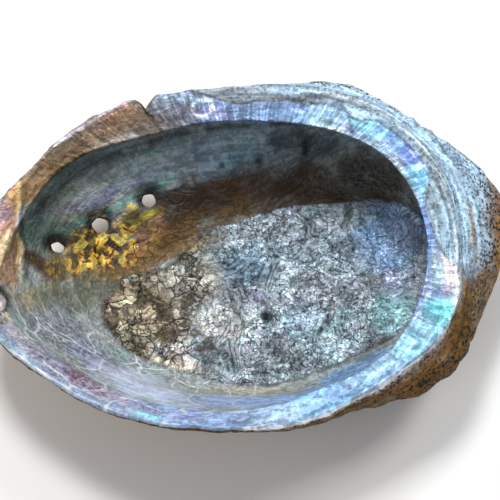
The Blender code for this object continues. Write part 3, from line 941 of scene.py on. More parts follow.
TINTS = (
    # The scar: tan plates in front, silver and blue behind
    (Zone.SCAR, (
        (-44, -14, 50, 50, 0, "#cdbb98", 0.9), (-39.5, -5.5, 14, 11, 10, "#6a6650"),
        (-33, -12, 9, 7, -30, "#6d5a43"), (-44, 4, 16, 9, 30, "#f4ead2"), (-53, -24, 16, 9, -50, "#6f6350"),
        (-42, -31, 22, 9, -25, "#8a7d64"), (-30.5, -23, 10, 7, -20, "#66563f", 0.8),
        (-27, -36, 26, 8, -12, "#e6dfc6"), (-20, 0, 26, 24, 20, "#cbc6b4"), (-14, 17, 26, 8, 40, "#94958c"),
        (3, 8, 26, 22, 0, "#82a2b6"), (24, 14, 40, 20, 5, "#d0e6f2"), (4, -5, 9, 7, 0, "#8f8fae", 0.7),
        (-8, -18, 26, 20, 0, "#f0f4f0"), (6, -33, 50, 14, 0, "#8c9a9c"), (20, -13, 8, 6, 0, "#a9a9d0", 0.6),
        (23, -17, 26, 18, 0, "#a6c0d0"), (36, -24, 26, 18, 20, "#cdeef6"), (44, 12, 22, 22, 0, "#b2cad6"),
        # The pale blue blot at (66, 20) is the skin's blue with painted light that lifts the shelf's shadow
        (60, 18, 30, 36, 0, "#92c0f2"), (66, 20, 20, 26, -40, "#bedcff", 0.9),
        (60, -14, 18, 20, 0, "#b6f0f4"), (62, -2, 14, 14, 0, "#c6d8f2"), (55, -28, 12, 8, 30, "#8f9a94"),
        (10, -14, 6, 6, 0, "#3a4650"), (-22, -8, 10, 4, 30, "#d8d0bf", 0.7),
    )),
    # The wall: gold by the open pores, and brown in the recess, partly its own colour and partly painted
    # shade under the shelf
    (Zone.WALL, (
        (-72, 16, 50, 24, 35, "#525d4e"), (-60, 29, 44, 12, 30, "#6b7164"),
        (-36, 41, 50, 14, 27, "#7c9394"), (-50, 32, 60, 5, 27, "#7a6c90", 0.65),
        (-48, 27, 60, 2.6, 30, "#3f9694", 0.7), (-80, 12, 20, 9, 60, "#546a62"),
        (-62, 8, 34, 18, 20, "#5f4c1c"), (-68, 0, 20, 12, 0, "#73652f"), (-50, 0, 24, 9, 10, "#6b4d1e"),
        (-46, 7, 22, 13, 30, "#6b4c1e"), (-37, 17, 26, 16, 40, "#8a5c34"), (-22, 30, 28, 15, 25, "#36230f"),
        (-44, 22, 16, 7, 35, "#6f611e"), (-30, 31, 14, 7, 30, "#2c2116"), (-15, 33, 34, 13, 22, "#2e1c0a"),
        (6, 38, 40, 16, 8, "#4b2f0e"), (30, 42, 34, 18, 0, "#42260a"), (55, 42, 34, 24, -30, "#332c1e"),
        (20, 33, 80, 8, 5, "#4a3b2a"), (72, 20, 24, 30, 0, "#464b4e"), (-22, 17.5, 66, 9, 31, "#66502c"),
        (-36, 11, 44, 10, 36, "#6b5028"), (-26, 21, 28, 8, 38, "#5a4320"),
        # The two lime spots on the next line are painted highlights on blisters by the pores
        (-59, 12, 6, 3.4, 30, "#bfba4a", 0.9), (-44.5, 25.5, 5, 3, 35, "#d6bd3c", 0.9),
        (-38, 25, 8, 2, 35, "#b8b030", 0.7),
    )),
    # The scar's brown upper edge
    (Zone.SCAR, (
        (-26, 12, 44, 8, 38, "#8f7f54", 0.85), (-40, 1, 34, 7, 34, "#8b7860", 0.7),
    )),
    # The wall: brown and grey at the front end, blue along the thin lip
    (Zone.WALL, (
        (-6, 49, 52, 14, 18, "#7a94a2"), (22, 54, 44, 7, 2, "#4a4e52"),
        (-78, -1, 22, 8, -25, "#43301c", 0.95), (-80, -17, 14, 14, 0, "#877f64"),
        (-66, -12, 26, 16, 0, "#5f6350"), (-56, -6, 28, 12, -15, "#5a5c4a", 0.85),
        (-88, -14, 8, 5, 0, "#86aeb8", 0.8), (-70, -28, 26, 22, -40, "#687074"),
        (-56, -38, 26, 14, -40, "#6c7590"), (-48, -32, 12, 8, -40, "#7c9490"),
        # The pale blot at (-36, -51) is the lip's blue, painted lighter as light on the lower wall
        (-36, -51, 44, 18, -25, "#cfdcf6"), (2, -55, 60, 14, 0, "#8fabdf"),
        (34, -48, 36, 14, 30, "#8fb6e0"), (46, -37, 40, 8, 25, "#7296ba", 0.85),
        (-6, -47, 60, 6, 0, "#9c9a86", 0.8), (62, -34, 24, 14, 50, "#8fb2d8"),
    )),
    # The shelf and the thin lip, round from the front end
    (Zone.SHELF, (
        (-60, 40, 90, 34, 38, "#7b6c58"), (-80, 24, 30, 20, 45, "#856638"),
        (-70, 36, 26, 22, 42, "#5f4a28"), (-58, 48, 26, 22, 28, "#5f4a34"),
        (-46, 54, 26, 12, 22, "#86644a"), (-36, 51, 24, 20, 15, "#5c4c3c"), (-22, 54, 22, 20, 8, "#5f5d64"),
        (-60, 52, 60, 4, 36, "#c4bccb", 0.7), (-4, 56, 34, 20, 4, "#7f94ba"),
        (18, 56, 30, 20, 0, "#7692bc"), (32, 53, 20, 12, -10, "#a6cde8"), (50, 48, 20, 12, -25, "#84c4dc"),
        (59, 41, 18, 12, -45, "#7a9ad0"), (66, 34, 14, 9, -60, "#7b88e0"), (67, 23, 16, 8, -70, "#7ec4ea"),
        (68, 2, 30, 8, 90, "#7fa8e0"), (74, -14, 12, 18, 0, "#cfe6f2"),
        (75, -20, 6, 14, 0, "#dcd0ea", 0.35), (72, -29, 14, 12, 0, "#80eef6"),
        (62, -41, 26, 14, 48, "#98dcec"), (46, -53, 26, 14, 32, "#98c4e4"),
        (28, -62, 28, 14, 14, "#84b2dc"), (6, -66, 34, 12, 0, "#a4c8e6"),
        (-18, -67, 34, 12, -12, "#9ebaec"), (-42, -61, 24, 9, -24, "#9c9cc2"),
        (-34, -66.5, 18, 3, -20, "#86e4ec", 0.7), (-33, -62.5, 14, 6, -18, "#6d78a4", 0.75),
        (-58, -51, 34, 14, -35, "#8d849e"), (-68, -45, 26, 12, -40, "#7e7a94"),
        (-80, -34, 24, 12, -48, "#978c90"), (-88, -22, 16, 12, 90, "#b3a684"),
    )),
    # The thin lip's red blotches
    (Zone.WALL, (
        (-65, -46, 9, 6, -35, "#7a4d62", 0.6), (-58, -50.5, 12, 5, -35, "#74414c", 0.7),
        (-51, -55, 10, 5, -30, "#74414e", 0.7),
    )),
    (Zone.SHELF, (
        (-44, -58.5, 9, 4, -25, "#86587a", 0.7), (-60, -51, 14, 6, -35, "#7c4a5c", 0.7),
        (-52, -56, 12, 5, -30, "#7e4c60", 0.7), (-76, -42, 10, 5, -45, "#8a6a88", 0.6),
        (-18, -66, 12, 4, -12, "#7478b4", 0.6), (-2, -68, 12, 4, 0, "#7c80b8", 0.5),
    )),
    # The crust: pale blue over the spire end, brown low down
    (Zone.CRUST, (
        (40, 54, 120, 44, -22, "#aed0ea", 0.95), (82, 13, 30, 60, -10, "#aed0ea", 0.95),
        (86, 4, 2.4, 26, 3, "#9a7f58"), (75, -24, 10, 17, -30, "#b7c3d0"), (100, 0, 8, 50, 0, "#a97f36"),
        (10, 60.5, 70, 3.4, 2, "#454a52", 0.8), (-12, 61, 64, 20, 4, "#9aa6b4", 0.95),
        (30, 60, 60, 5, -4, "#6e7078", 0.6),
    )),
)


@dataclass(frozen=True)
class RingLine:
    """A line of colour that follows the rings: its ring, width in rings, sector and strength."""

    ring: float
    width: float
    start: float
    end: float
    colour: str
    strength: float

    def share(self, ring: Array, degrees: Array, worn: Array) -> Array:
        """How much of the line each point takes: a bell across the line, thinner where it is worn."""
        bell = bump(ring - self.ring, self.width)
        return self.strength * bell * sector(degrees, self.start, self.end) * worn


RING_LINES = (
    # Olive, dark violet and pale lines along the shelf's inner edge
    (6.1, 0.35, 116, 168, "#4f4326", 0.8), (6.1, 0.4, 66, 112, "#474c7c", 0.75),
    (5.9, 0.12, 66, 150, "#a8a6b4", 0.6), (6.7, 0.4, 14, 62, "#d3e6f0", 0.75),
    (7.3, 0.1, 16, 60, "#39454f", 0.6), (6.4, 0.45, 332, 368, "#6b96da", 0.6),
    # The grey band under the edge, painted lighter to lift the undercut's shade, and the painted shadow line
    # above it
    (3.44, 0.2, 84, 158, "#a9b9b5", 0.4), (3.76, 0.1, 62, 165, "#14181b", 0.75),
    # The lilac outer band, the pale double ridge of the margin and the brown of the thin lip
    (9.35, 0.4, 129, 160, "#cbc2cf", 0.9), (8.7, 0.12, 346, 430, "#dde8ec", 0.6),
    (8.92, 0.07, 346, 430, "#4c565f", 0.4), (8.48, 0.07, 346, 430, "#4c565f", 0.35),
    (9.8, 0.2, 205, 278, "#4c3826", 0.9),
)


@dataclass(frozen=True)
class Palette:
    """Colours that the marks on the shell are painted in."""

    wall: str = "#87908e"
    scar: str = "#b6c4cc"
    shelf: str = "#8fa9c4"
    bare: str = "#6a5c46"
    bare_edge: str = "#2a2119"
    plate_line: str = "#3d3428"
    ledge: str = "#3a3127"
    scar_pit: str = "#14171a"
    wall_pit: str = "#101313"
    nacre_edge: str = "#332e2a"
    fringe: str = "#ffffff"
    # Painted shadow in the pocket behind each open pore
    pore_shadow: str = "#14100c"
    bore_hole: str = "#0b0c0a"
    burrow: str = "#100b07"
    notch: str = "#aaa3a6"
    notch_edge: str = "#1c1510"
    crack: str = "#23272b"
    # Knobs by the margin: partly their grey colour, partly a painted glassy highlight
    knob_grey_and_sheen: str = "#8f9ca0"
    dot: str = "#33424a"
    halo: str = "#dfe4ee"
    band: str = "#a87a4a"
    band_gold: str = "#f2cf8c"
    band_pink: str = "#a8808a"
    band_border: str = "#d8cba4"
    band_shadow: str = "#221d18"
    crust: str = "#6d4e1c"
    crust_band: str = "#84622a"
    brick: str = "#6f4426"
    growths: str = "#a0947c"
    crust_dark: str = "#3a2614"


@dataclass
class Skin:
    """The finished surface, as the paint sees it.

    Attributes:
        surface: The bare surface.
        points: The finished points in the part's frame.
        masks: The zones.
        stage: Growth stage of each point.
    """

    surface: Surface
    points: Array
    masks: dict[str, Array]
    stage: Array

    @property
    def ring(self) -> Array:
        """Place of each row between the rings."""
        return self.surface.ring

    @property
    def degrees(self) -> Array:
        """Turn of each column round the bowl's axis."""
        return np.degrees(self.surface.angles)[None, :]

    def rough(self, size: float, seed: int) -> Array:
        """Lumps with finer lumps on them, at each point."""
        return rough(self.points, size, seed)


@dataclass
class ShellPiece:
    """The whole shell: the loft, its relief, its pores and its paint."""

    form: ShellForm
    pores: PoreRow
    scar: MuscleScar
    crust: Crust
    shelf: ShelfDetail
    palette: Palette = Palette()
    strip_radius: float = 80.0
    centring: Pair = (-0.87, -0.84)
    wall_roughness: float = 0.35
    shelf_roughness: float = 0.3
    crack_depth: float = 0.7
    pore_rings: Pairs = ((2.0, 2.3), (4.2, 5.2))
    ledge_rings: Pairs = ((0.5, 1.4), (2.2, 3.0))
    notch_rings: Pairs = ((4.0, 4.6), (9.4, 10.0))
    knob_rings: Pairs = ((6.8, 7.2), (9.0, 9.5))
    outer_rings: Pair = (10.0, 10.8)
    ridge_sector: Pair = (346.0, 430.0)
    nacre_edge_sector: Pair = (352.0, 471.0)
    fringe_sector: Pair = (270.0, 350.0)
    calm_sector: Pair = (350.0, 468.0)
    band_sector: Pair = (166.0, 186.0)
    border_sector: Pair = (171.0, 184.0)
    border_x: float = -85.3
    front_top_sector: Pair = (120.0, 166.0)
    streaked_sectors: Pairs = ((75.0, 175.0), (235.0, 330.0))
    lower_side: Pairs = ((150.0, 168.0), (300.0, 345.0))
    bored: Oval = Oval(49.0, 45.0, 1.3, 1.0)
    web_patch: Oval = Oval(-48.0, -47.0, 50.0, 24.0)
    cracked_patch: Oval = Oval(-42.0, 12.0, 1.0, 1.0 / 1.3)

    def build(self) -> bpy.types.Object:
        """Make the closed mesh, cut the open pores and lay the paint on it.

        The details are laid out in the plan as it was measured. The finished shell is moved a little,
        by the centring, so that the part's origin is under its middle.

        Returns:
            The shell, at the origin, with its place in its mesh.
        """
        surface = self.form.surface()
        plan = surface.points + np.array((*self.form.axis, 0.0))
        masks = self.zones(surface, plan)
        stage = self.crust.growth_stage(surface.points, self.form, self.pores.apex)
        relief = self.relief(surface, plan, masks, stage)
        points = surface.points + surface.normals * relief[..., None]
        above = surface.ring[:, 0] < ring_number("foot")
        points[above, :, 2] = np.maximum(points[above, :, 2], self.form.clear_of_ground)
        points[~above, :, 2] = 0.0
        points[..., :2] += self.form.axis
        centred = points + np.array((*self.centring, 0.0))
        piece = self.cut_pores(self.closed_mesh(centred))
        skin = Skin(surface, points, masks, stage)
        self.store(piece, surface, {"paint": self.paint(skin), **self.finish_masks(skin)})
        return piece

    def zones(self, surface: Surface, plan: Array) -> dict[str, Array]:
        """Work out how far each point belongs to each part of the shell.

        Args:
            surface: The bare surface.
            plan: Its points in the part's frame.

        Returns:
            Masks from 0 to 1 by name, and how far inside the scar and beyond the nacre each point is.
        """
        inside = self.scar.signed_inside(surface, plan)
        beyond = self.shelf.beyond_nacre(surface, plan)
        scar = ease(-0.02, 0.03, inside)
        crust = ease(-0.03, 0.05, beyond)
        shelf = ease(5.0, 6.1, surface.ring + 0.15 * rough(plan, 8.0, 111)) * (1.0 - crust)
        smooth = self.scar.smooth_share(plan)
        return {
            "scar": scar, "crust": crust, "shelf": shelf,
            "wall": (1.0 - scar) * (1.0 - shelf) * (1.0 - crust),
            "smooth": scar * smooth, "crinkled": scar * (1.0 - smooth),
            "flaky": scar * self.scar.flaky_share(plan),
            "beyond": beyond, "inside": inside,
        }

    def relief(self, surface: Surface, plan: Array, masks: dict[str, Array], stage: Array) -> Array:
        """Add up the part's own relief and the finer relief of each zone.

        Args:
            surface: The bare surface.
            plan: Its points in the part's frame.
            masks: The zones.
            stage: Growth stage of each point.

        Returns:
            Height above the bare loft.
        """
        points, rows, ring = surface.points, surface.part_row, surface.ring
        degrees = np.degrees(surface.angles)[None, :]
        row_of = np.cumsum([0] + [entry.part_rows for entry in RINGS[:-1]])
        at = {entry.name: row for entry, row in zip(RINGS, row_of)}
        on_scar = between(rows, (0, 2), (at["scar"] - 2, at["scar"] + 1))
        on_wall = between(rows, (at["scar"], at["wall"]), (at["undercut"], at["under_edge"]))
        low_fade = 1.0 - ease(at["foot"] - 3, at["foot"], rows)
        size = self.scar.flake_size
        lumpy = lumps(points, size, 7) + 0.5 * lumps(points, size * 0.5, 8)
        relief = (self.scar.lift + self.scar.relief * lumpy) * on_scar
        relief += self.pores.seals_inside(points) * on_wall
        outside = ease(at["rim"], at["crown"], rows) * low_fade
        relief += self.crust.height(points, stage, self.pores) * outside

        plates, _ = self.scar.plates(plan)
        worn = masks["crinkled"] * self.scar.wrinkle_height * (self.scar.wrinkles(plan) - 0.5)
        flaky = masks["flaky"]
        relief += worn * (1.0 - 0.65 * flaky) + flaky * self.scar.plate_step * (plates - 0.5)
        step = ease(-0.03, 0.05, masks["inside"]) - 0.5
        relief += self.scar.ledge * step * between(ring, *self.ledge_rings)
        relief += masks["scar"] * sum(spot.swell(plan) for spot in self.scar.pits)

        on_pores = between(ring, *self.pore_rings)
        funnels = self.pores.funnels(points)
        relief -= self.pores.funnel_depth * funnels * on_pores
        relief += on_pores * sum(spot.swell(plan) for spot in self.pores.blisters + self.pores.pits)
        relief += self.wall_roughness * rough(plan, 9.0, 121) * masks["wall"]
        relief += self.pores.collar_height * funnels * ease(11.6, 12.4, ring) * low_fade

        on_shelf = masks["shelf"] + masks["crust"] * (1.0 - ease(9.0, 10.0, ring))
        marks = (*self.shelf.knobs, self.shelf.notch, self.shelf.dark_dot, self.shelf.front_hole)
        relief += on_shelf * sum(spot.swell(plan) for spot in marks)
        relief -= self.crack_depth * self.shelf.crack_line(plan) * on_shelf
        relief += self.shelf_roughness * rough(plan, 6.0, 125) * on_shelf
        margin = ease(-0.02, 0.06, masks["beyond"]) * (1.0 - ease(8.6, 9.2, ring))
        relief -= self.shelf.margin_drop * margin
        ridge = bump(ring - self.shelf.ridge_ring, self.shelf.ridge_width)
        relief += self.shelf.ridge_height * ridge * sector(degrees, *self.ridge_sector)
        relief += self.crust.fine_height(points, stage) * masks["crust"] * low_fade
        outer = ease(*self.outer_rings, ring) * low_fade
        return relief - self.crust.burrow_depth * self.crust.burrows(points) * masks["crust"] * outer

    def closed_mesh(self, points: Array) -> bpy.types.Object:
        """Close the grid into one solid and keep each corner's column and row as a UV map.

        Args:
            points: Rows by columns by three, in millimetres.

        Returns:
            The shell before its pores are cut.
        """
        rows, columns = points.shape[0] - 2, points.shape[1]
        vertices = np.concatenate((points[0, :1], points[1:-1].reshape(-1, 3), points[-1, :1]))
        index = np.arange(rows * columns).reshape(rows, columns) + 1
        after = np.roll(index, -1, axis=1)
        quads = np.stack((index[:-1], index[1:], after[1:], after[:-1]), axis=-1).reshape(-1, 4)
        top = np.stack((np.zeros(columns, int), index[0], after[0]), axis=-1)
        bottom = np.stack((np.full(columns, len(vertices) - 1), after[-1], index[-1]), axis=-1)
        mesh = bpy.data.meshes.new("shell_surface")
        mesh.from_pydata((vertices * MM).tolist(), [], quads.tolist() + top.tolist() + bottom.tolist())

        corner = corner_vertices(mesh)
        column = np.where(corner == 0, 0, (corner - 1) % columns) / columns
        row = np.where(corner == 0, 0, (corner - 1) // columns + 1)
        row = np.minimum(row, rows + 1) / (rows + 1.0)
        starts = np.concatenate((np.arange(len(quads)) * 4, len(quads) * 4 + np.arange(2 * columns) * 3))
        sizes = np.concatenate((np.full(len(quads), 4), np.full(2 * columns, 3)))
        widest = np.repeat(np.maximum.reduceat(column, starts), sizes)
        column = np.where((widest > 0.6) & (column < 0.2), column + 1.0, column)
        layer = mesh.uv_layers.new(name="grid")
        layer.data.foreach_set("uv", np.stack((column, row), axis=1).ravel().astype(np.float32))
        return placed("abalone_shell", mesh)

    def cut_pores(self, piece: bpy.types.Object) -> bpy.types.Object:
        """Cut the open pores with round bars and put the result in the piece's own mesh.

        Args:
            piece: The closed shell.

        Returns:
            The same piece, without live modifiers.
        """
        axis = (self.form.axis[0] + self.centring[0], self.form.axis[1] + self.centring[1])
        bars = [self.pores.cutter(number, axis) for number in range(len(self.pores.open_pores))]
        for bar in bars:
            cut = piece.modifiers.new("pore", "BOOLEAN")
            cut.operation = "DIFFERENCE"
            cut.solver = "EXACT"
            cut.object = bar
        view = bpy.context.evaluated_depsgraph_get()
        whole = bpy.data.meshes.new_from_object(piece.evaluated_get(view))
        spent = [piece.data] + [bar.data for bar in bars]
        piece.modifiers.clear()
        piece.data = whole
        for bar in bars:
            bpy.data.objects.remove(bar)
        for mesh in spent:
            bpy.data.meshes.remove(mesh)
        whole.name = "abalone_shell"
        whole.shade_smooth()
        return piece

    def paint(self, skin: Skin) -> Array:
        """Lay the colours of every point of the grid, from the broad ones to the fine marks.

        Args:
            skin: The finished surface.

        Returns:
            Linear colours with an alpha of 1.
        """
        colour = self.lay_tints(skin)
        colour = self.mark_scar(skin, colour)
        colour = self.mark_wall(skin, colour)
        colour = self.front_band(skin, colour)
        colour = self.mark_rim(skin, colour)
        return np.concatenate((colour, np.ones((*colour.shape[:2], 1))), axis=-1)

    def lay_tints(self, skin: Skin) -> Array:
        """Lay each zone's ground colour and the soft blots of colour on it.

        Args:
            skin: The finished surface.

        Returns:
            Linear colours.
        """
        masks = skin.masks
        upper = 1.0 - ease(11.1, 12.4, skin.ring + 0.5 * skin.rough(14.0, 201))
        zones = {Zone.SCAR: masks["scar"], Zone.WALL: masks["wall"], Zone.SHELF: masks["shelf"],
                 Zone.CRUST: masks["crust"] * upper}
        colour = np.zeros(skin.points.shape) + linear_colour(self.palette.wall)
        colour = dye(colour, self.palette.scar, masks["scar"])
        colour = dye(colour, self.palette.shelf, masks["shelf"])
        colour = blend(colour, self.crust_colour(skin), masks["crust"])
        ragged = skin.rough(7.0, 131)
        for zone, tints in TINTS:
            for tint in (Tint(*row) for row in tints):
                colour = dye(colour, tint.colour, tint.share(skin.points, ragged) * zones[zone])
        return colour

    def crust_colour(self, skin: Skin) -> Array:
        """Colour of the outside: bands along the growth lines, ochre, brick and pale growths.

        Args:
            skin: The finished surface.

        Returns:
            Linear colours.
        """
        stage, ink = skin.stage, self.palette
        colour = np.zeros(skin.points.shape) + linear_colour(ink.crust)
        bands = lumps(np.stack((stage * 160.0, 0.0 * stage, 0.0 * stage), axis=-1), 6.0, 141)
        colour = dye(colour, ink.crust_band, 0.6 * ease(-0.4, 0.5, bands))
        colour = dye(colour, ink.brick, 0.35 * ease(0.0, 0.5, skin.rough(24.0, 145)))
        colour = dye(colour, ink.growths, 0.35 * ease(0.15, 0.5, skin.rough(13.0, 149)))
        return dye(colour, ink.crust_dark, 0.7 * ease(0.1, 0.6, -skin.rough(5.0, 153)))

    def mark_scar(self, skin: Skin, colour: Array) -> Array:
        """Shade the scar's plates and wrinkles, and draw its bare patches, ledge and pits.

        Args:
            skin: The finished surface.
            colour: Colours so far.

        Returns:
            Colours with the marks on them.
        """
        points, masks, ink = skin.points, skin.masks, self.palette
        flaky = masks["flaky"]
        plates, lines = self.scar.plates(points)
        wrinkles = self.scar.wrinkles(points)
        colour = colour * (1.0 + flaky * 0.8 * (plates - 0.5))[..., None]
        colour *= (1.0 + masks["crinkled"] * (1.0 - flaky) * 0.35 * (wrinkles - 0.5))[..., None]
        bare = self.scar.bare_share(points) * masks["scar"]
        colour = dye(colour, ink.bare, 0.8 * bare)
        colour = dye(colour, ink.bare_edge, 0.8 * bump(bare - 0.5, 0.3) * masks["scar"])
        colour = dye(colour, ink.plate_line, flaky * lines * 0.75)
        ledge_line = bump(masks["inside"], 0.035) * (1.0 - ease(2.3, 2.6, skin.ring))
        colour = dye(colour, ink.ledge, 0.55 * ledge_line)
        for spot in self.scar.pits:
            colour = dye(colour, ink.scar_pit, 0.9 * spot.near(points, 0.9) * masks["scar"])
        return colour

    def mark_wall(self, skin: Skin, colour: Array) -> Array:
        """Draw the wall's pits, painted pore shadows, bored holes, the nacre's dark edge and frayed fringe.

        Args:
            skin: The finished surface.
            colour: Colours so far.

        Returns:
            Colours with the marks on them.
        """
        points, masks, ink = skin.points, skin.masks, self.palette
        for spot in self.pores.pits:
            colour = dye(colour, ink.wall_pit, 0.85 * spot.near(points, 0.9) * masks["wall"])
        outline = bump(masks["beyond"] - 0.04, 0.08) * ease(7.2, 7.6, skin.ring)
        outline *= sector(skin.degrees, *self.nacre_edge_sector) * ease(-0.5, 0.2, skin.rough(7.0, 171))
        colour = dye(colour, ink.nacre_edge, 0.85 * outline)
        frayed = masks["beyond"] + 0.14 + 0.14 * skin.rough(3.0, 203)
        colour = dye(colour, ink.fringe, bump(frayed, 0.36) * sector(skin.degrees, *self.fringe_sector))
        # Painted shadow in the pocket behind each open pore, on the wall
        colour = dye(colour, ink.pore_shadow, 0.9 * self.pores.painted_shadows(points) * masks["wall"])
        number, _, away = flakes(points, 2.3, 197)
        holes = (1.0 - ease(0.18, 0.34, away)) * (number > 0.35)
        bored = ease(0.25, 0.6, bump(self.bored.away(points), 6.5) * masks["wall"])
        return dye(colour, ink.bore_hole, 0.85 * holes * bored)

    def front_band(self, skin: Skin, colour: Array) -> Array:
        """Lay the gold and pink streaks of the front end's band, inside its pale border.

        Args:
            skin: The finished surface.
            colour: Colours so far.

        Returns:
            Colours with the band on them.
        """
        ink, ring = self.palette, skin.ring
        from_border = skin.points[..., 0] - self.border_x + 1.8 * skin.rough(8.0, 193)
        reach = (1.0 - ease(8.6, 9.2, ring)) * sector(skin.degrees, *self.band_sector, 7.0)
        streaks = rough(skin.points * (1.0, 0.3, 0.6), 4.0, 191)
        tone = np.zeros(skin.points.shape) + linear_colour(ink.band)
        tone = dye(tone, ink.band_gold, ease(0.0, 0.5, streaks))
        tone = dye(tone, ink.band_pink, 0.7 * ease(0.1, 0.5, -streaks))
        colour = blend(colour, tone, 0.75 * reach * (1.0 - ease(-0.7, 0.7, from_border)))
        border = reach * sector(skin.degrees, *self.border_sector) * (1.0 - ease(7.6, 8.2, ring))
        colour = dye(colour, ink.band_border, 0.65 * bump(from_border, 0.45) * border)
        return dye(colour, ink.band_shadow, 0.7 * bump(from_border - 1.3, 0.6) * border)

    def mark_rim(self, skin: Skin, colour: Array) -> Array:
        """Draw the burrows, the notch and the hole in front, the shelf's marks and the ring lines.

        Args:
            skin: The finished surface.
            colour: Colours so far.

        Returns:
            Colours with the marks on them.
        """
        points, ring, ink, shelf = skin.points, skin.ring, self.palette, self.shelf
        burrows = self.crust.burrows(skin.surface.points) * skin.masks["crust"]
        burrows *= ease(*self.outer_rings, ring)
        burrows *= 1.0 - 0.6 * sector(skin.degrees, *self.calm_sector, 10.0) * (1.0 - ease(11.4, 12.2, ring))
        colour = dye(colour, ink.burrow, 0.6 * burrows)
        front = between(ring, *self.notch_rings)
        from_notch = np.hypot(points[..., 0] - shelf.notch.x, 0.6 * (points[..., 1] - shelf.notch.y))
        from_notch += 1.2 * skin.rough(3.0, 207)
        colour = dye(colour, ink.notch, 0.8 * (1.0 - ease(2.2, 3.4, from_notch)) * front)
        colour = dye(colour, ink.notch_edge, 0.9 * bump(from_notch - 3.4, 0.9) * front)
        colour = dye(colour, ink.notch_edge, 0.9 * shelf.front_hole.near(points, 1.3) * front)
        on_shelf = skin.masks["shelf"]
        colour = dye(colour, ink.crack, 0.8 * shelf.crack_line(points) * on_shelf)
        # Knobs painted paler: partly their grey colour, partly a painted glassy highlight
        for spot in shelf.knobs:
            colour = dye(colour, ink.knob_grey_and_sheen, 0.6 * spot.near(points, 1.1) * between(ring, *self.knob_rings))
        colour = dye(colour, ink.dot, 0.9 * shelf.dark_dot.near(points) * on_shelf)
        worn = ease(-0.7, 0.1, skin.rough(6.0, 181))
        for line in (RingLine(*row) for row in RING_LINES):
            colour = dye(colour, line.colour, line.share(ring, skin.degrees, worn))
        halo = bump(shelf.ring_scar.away(points) - shelf.ring_scar.radius, 0.6) * on_shelf
        return dye(colour, ink.halo, 0.9 * halo)

    def finish_masks(self, skin: Skin) -> dict[str, Array]:
        """Work out where each part of the finish lies.

        Args:
            skin: The finished surface.

        Returns:
            The unrolled strip that growth lines follow, and values by name, apart from the paint.
        """
        points, masks, degrees, ring = skin.points, skin.masks, skin.degrees, skin.ring
        x, y = points[..., 0], points[..., 1]
        wall, shelf, scar, smooth = masks["wall"], masks["shelf"], masks["scar"], masks["smooth"]
        across = skin.surface.across
        turns = skin.surface.angles + 0.0 * across
        strip = np.stack((np.cos(turns), np.sin(turns), across), axis=-1)
        strip[..., :2] *= self.strip_radius
        web = (wall + shelf) * ease(-0.2, 0.5, 1.3 - self.web_patch.away(points))
        top_side = 1.0 - between(degrees, *self.lower_side)
        front_top = sector(degrees, *self.front_top_sector, 8.0)
        gold = bump(np.hypot((x + 55.0) / 1.9, y - 10.0 - 0.5 * (x + 56.0)), 9.5) * wall
        glitter = ease(-0.3, 0.4, skin.rough(2.8, 161) + 1.1 * gold - 0.4)
        cracked = bump(self.cracked_patch.away(points), 8.0) * wall
        above, below = (sector(degrees, *ends, 12.0) for ends in self.streaked_sectors)
        lengthwise = np.clip(ease(2.5, 3.0, ring) * above + below, 0.12, 1.0)
        lengthwise *= wall * (1.0 - gold) * (1.0 - web)
        margin = masks["crust"] * (1.0 - ease(10.4, 11.2, ring)) * top_side
        return {
            "strip": strip * MM,
            "crinkled": masks["crinkled"] * (1.0 - 0.6 * masks["flaky"]) + 0.75 * smooth,
            "flaky": np.clip(masks["flaky"] + 0.75 * cracked, 0.0, 1.0),
            "crust": masks["crust"],
            "shelf": shelf * ease(5.8, 6.4, ring) * (0.15 + 0.85 * top_side),
            "gold": 0.95 * np.clip(gold, 0.0, 1.0) * glitter,
            "growth": np.clip(0.85 * margin + 0.36 * lengthwise, 0.0, 1.0),
            "hue": 0.35 * wall + (0.4 + 0.25 * top_side - 0.4 * front_top) * shelf + 0.35 * scar,
            "web": web,
            "smooth": np.clip(0.75 * wall + 0.35 * smooth + shelf, 0.0, 1.0),
        }

    def store(self, piece: bpy.types.Object, surface: Surface, fields: dict[str, Array]) -> None:
        """Put the painted arrays on the cut mesh by each vertex's place on the grid.

        Args:
            piece: The cut shell.
            surface: The bare surface.
            fields: Named arrays over the grid.
        """
        mesh = piece.data
        corner = corner_vertices(mesh)
        uv = np.zeros(len(mesh.loops) * 2, np.float32)
        mesh.uv_layers["grid"].data.foreach_get("uv", uv)
        place = np.zeros((len(mesh.vertices), 2))
        np.maximum.at(place, corner, uv.reshape(-1, 2))
        rows, columns = len(surface.ring), len(surface.angles)
        column = place[:, 0] * columns
        row = np.clip(place[:, 1] * (rows - 1), 0.0, rows - 1.001)
        low_row, low_column = np.floor(row + 1e-4).astype(int), np.floor(column + 1e-4).astype(int)
        up, over = (row - low_row)[:, None], (column - low_column)[:, None]
        left, right = low_column % columns, (low_column + 1) % columns
        for name, grid in fields.items():
            flat = grid.reshape(rows, columns, -1)
            lower = flat[low_row, left] * (1.0 - over) + flat[low_row, right] * over
            higher = flat[low_row + 1, left] * (1.0 - over) + flat[low_row + 1, right] * over
            values = lower * (1.0 - up) + higher * up
            kind, part = {1: ("FLOAT", "value"), 3: ("FLOAT_VECTOR", "vector"),
                          4: ("FLOAT_COLOR", "color")}[values.shape[1]]
            layer = mesh.attributes.new(name, kind, "POINT")
            layer.data.foreach_set(part, values.ravel().astype(np.float32))
        mesh.uv_layers.remove(mesh.uv_layers["grid"])


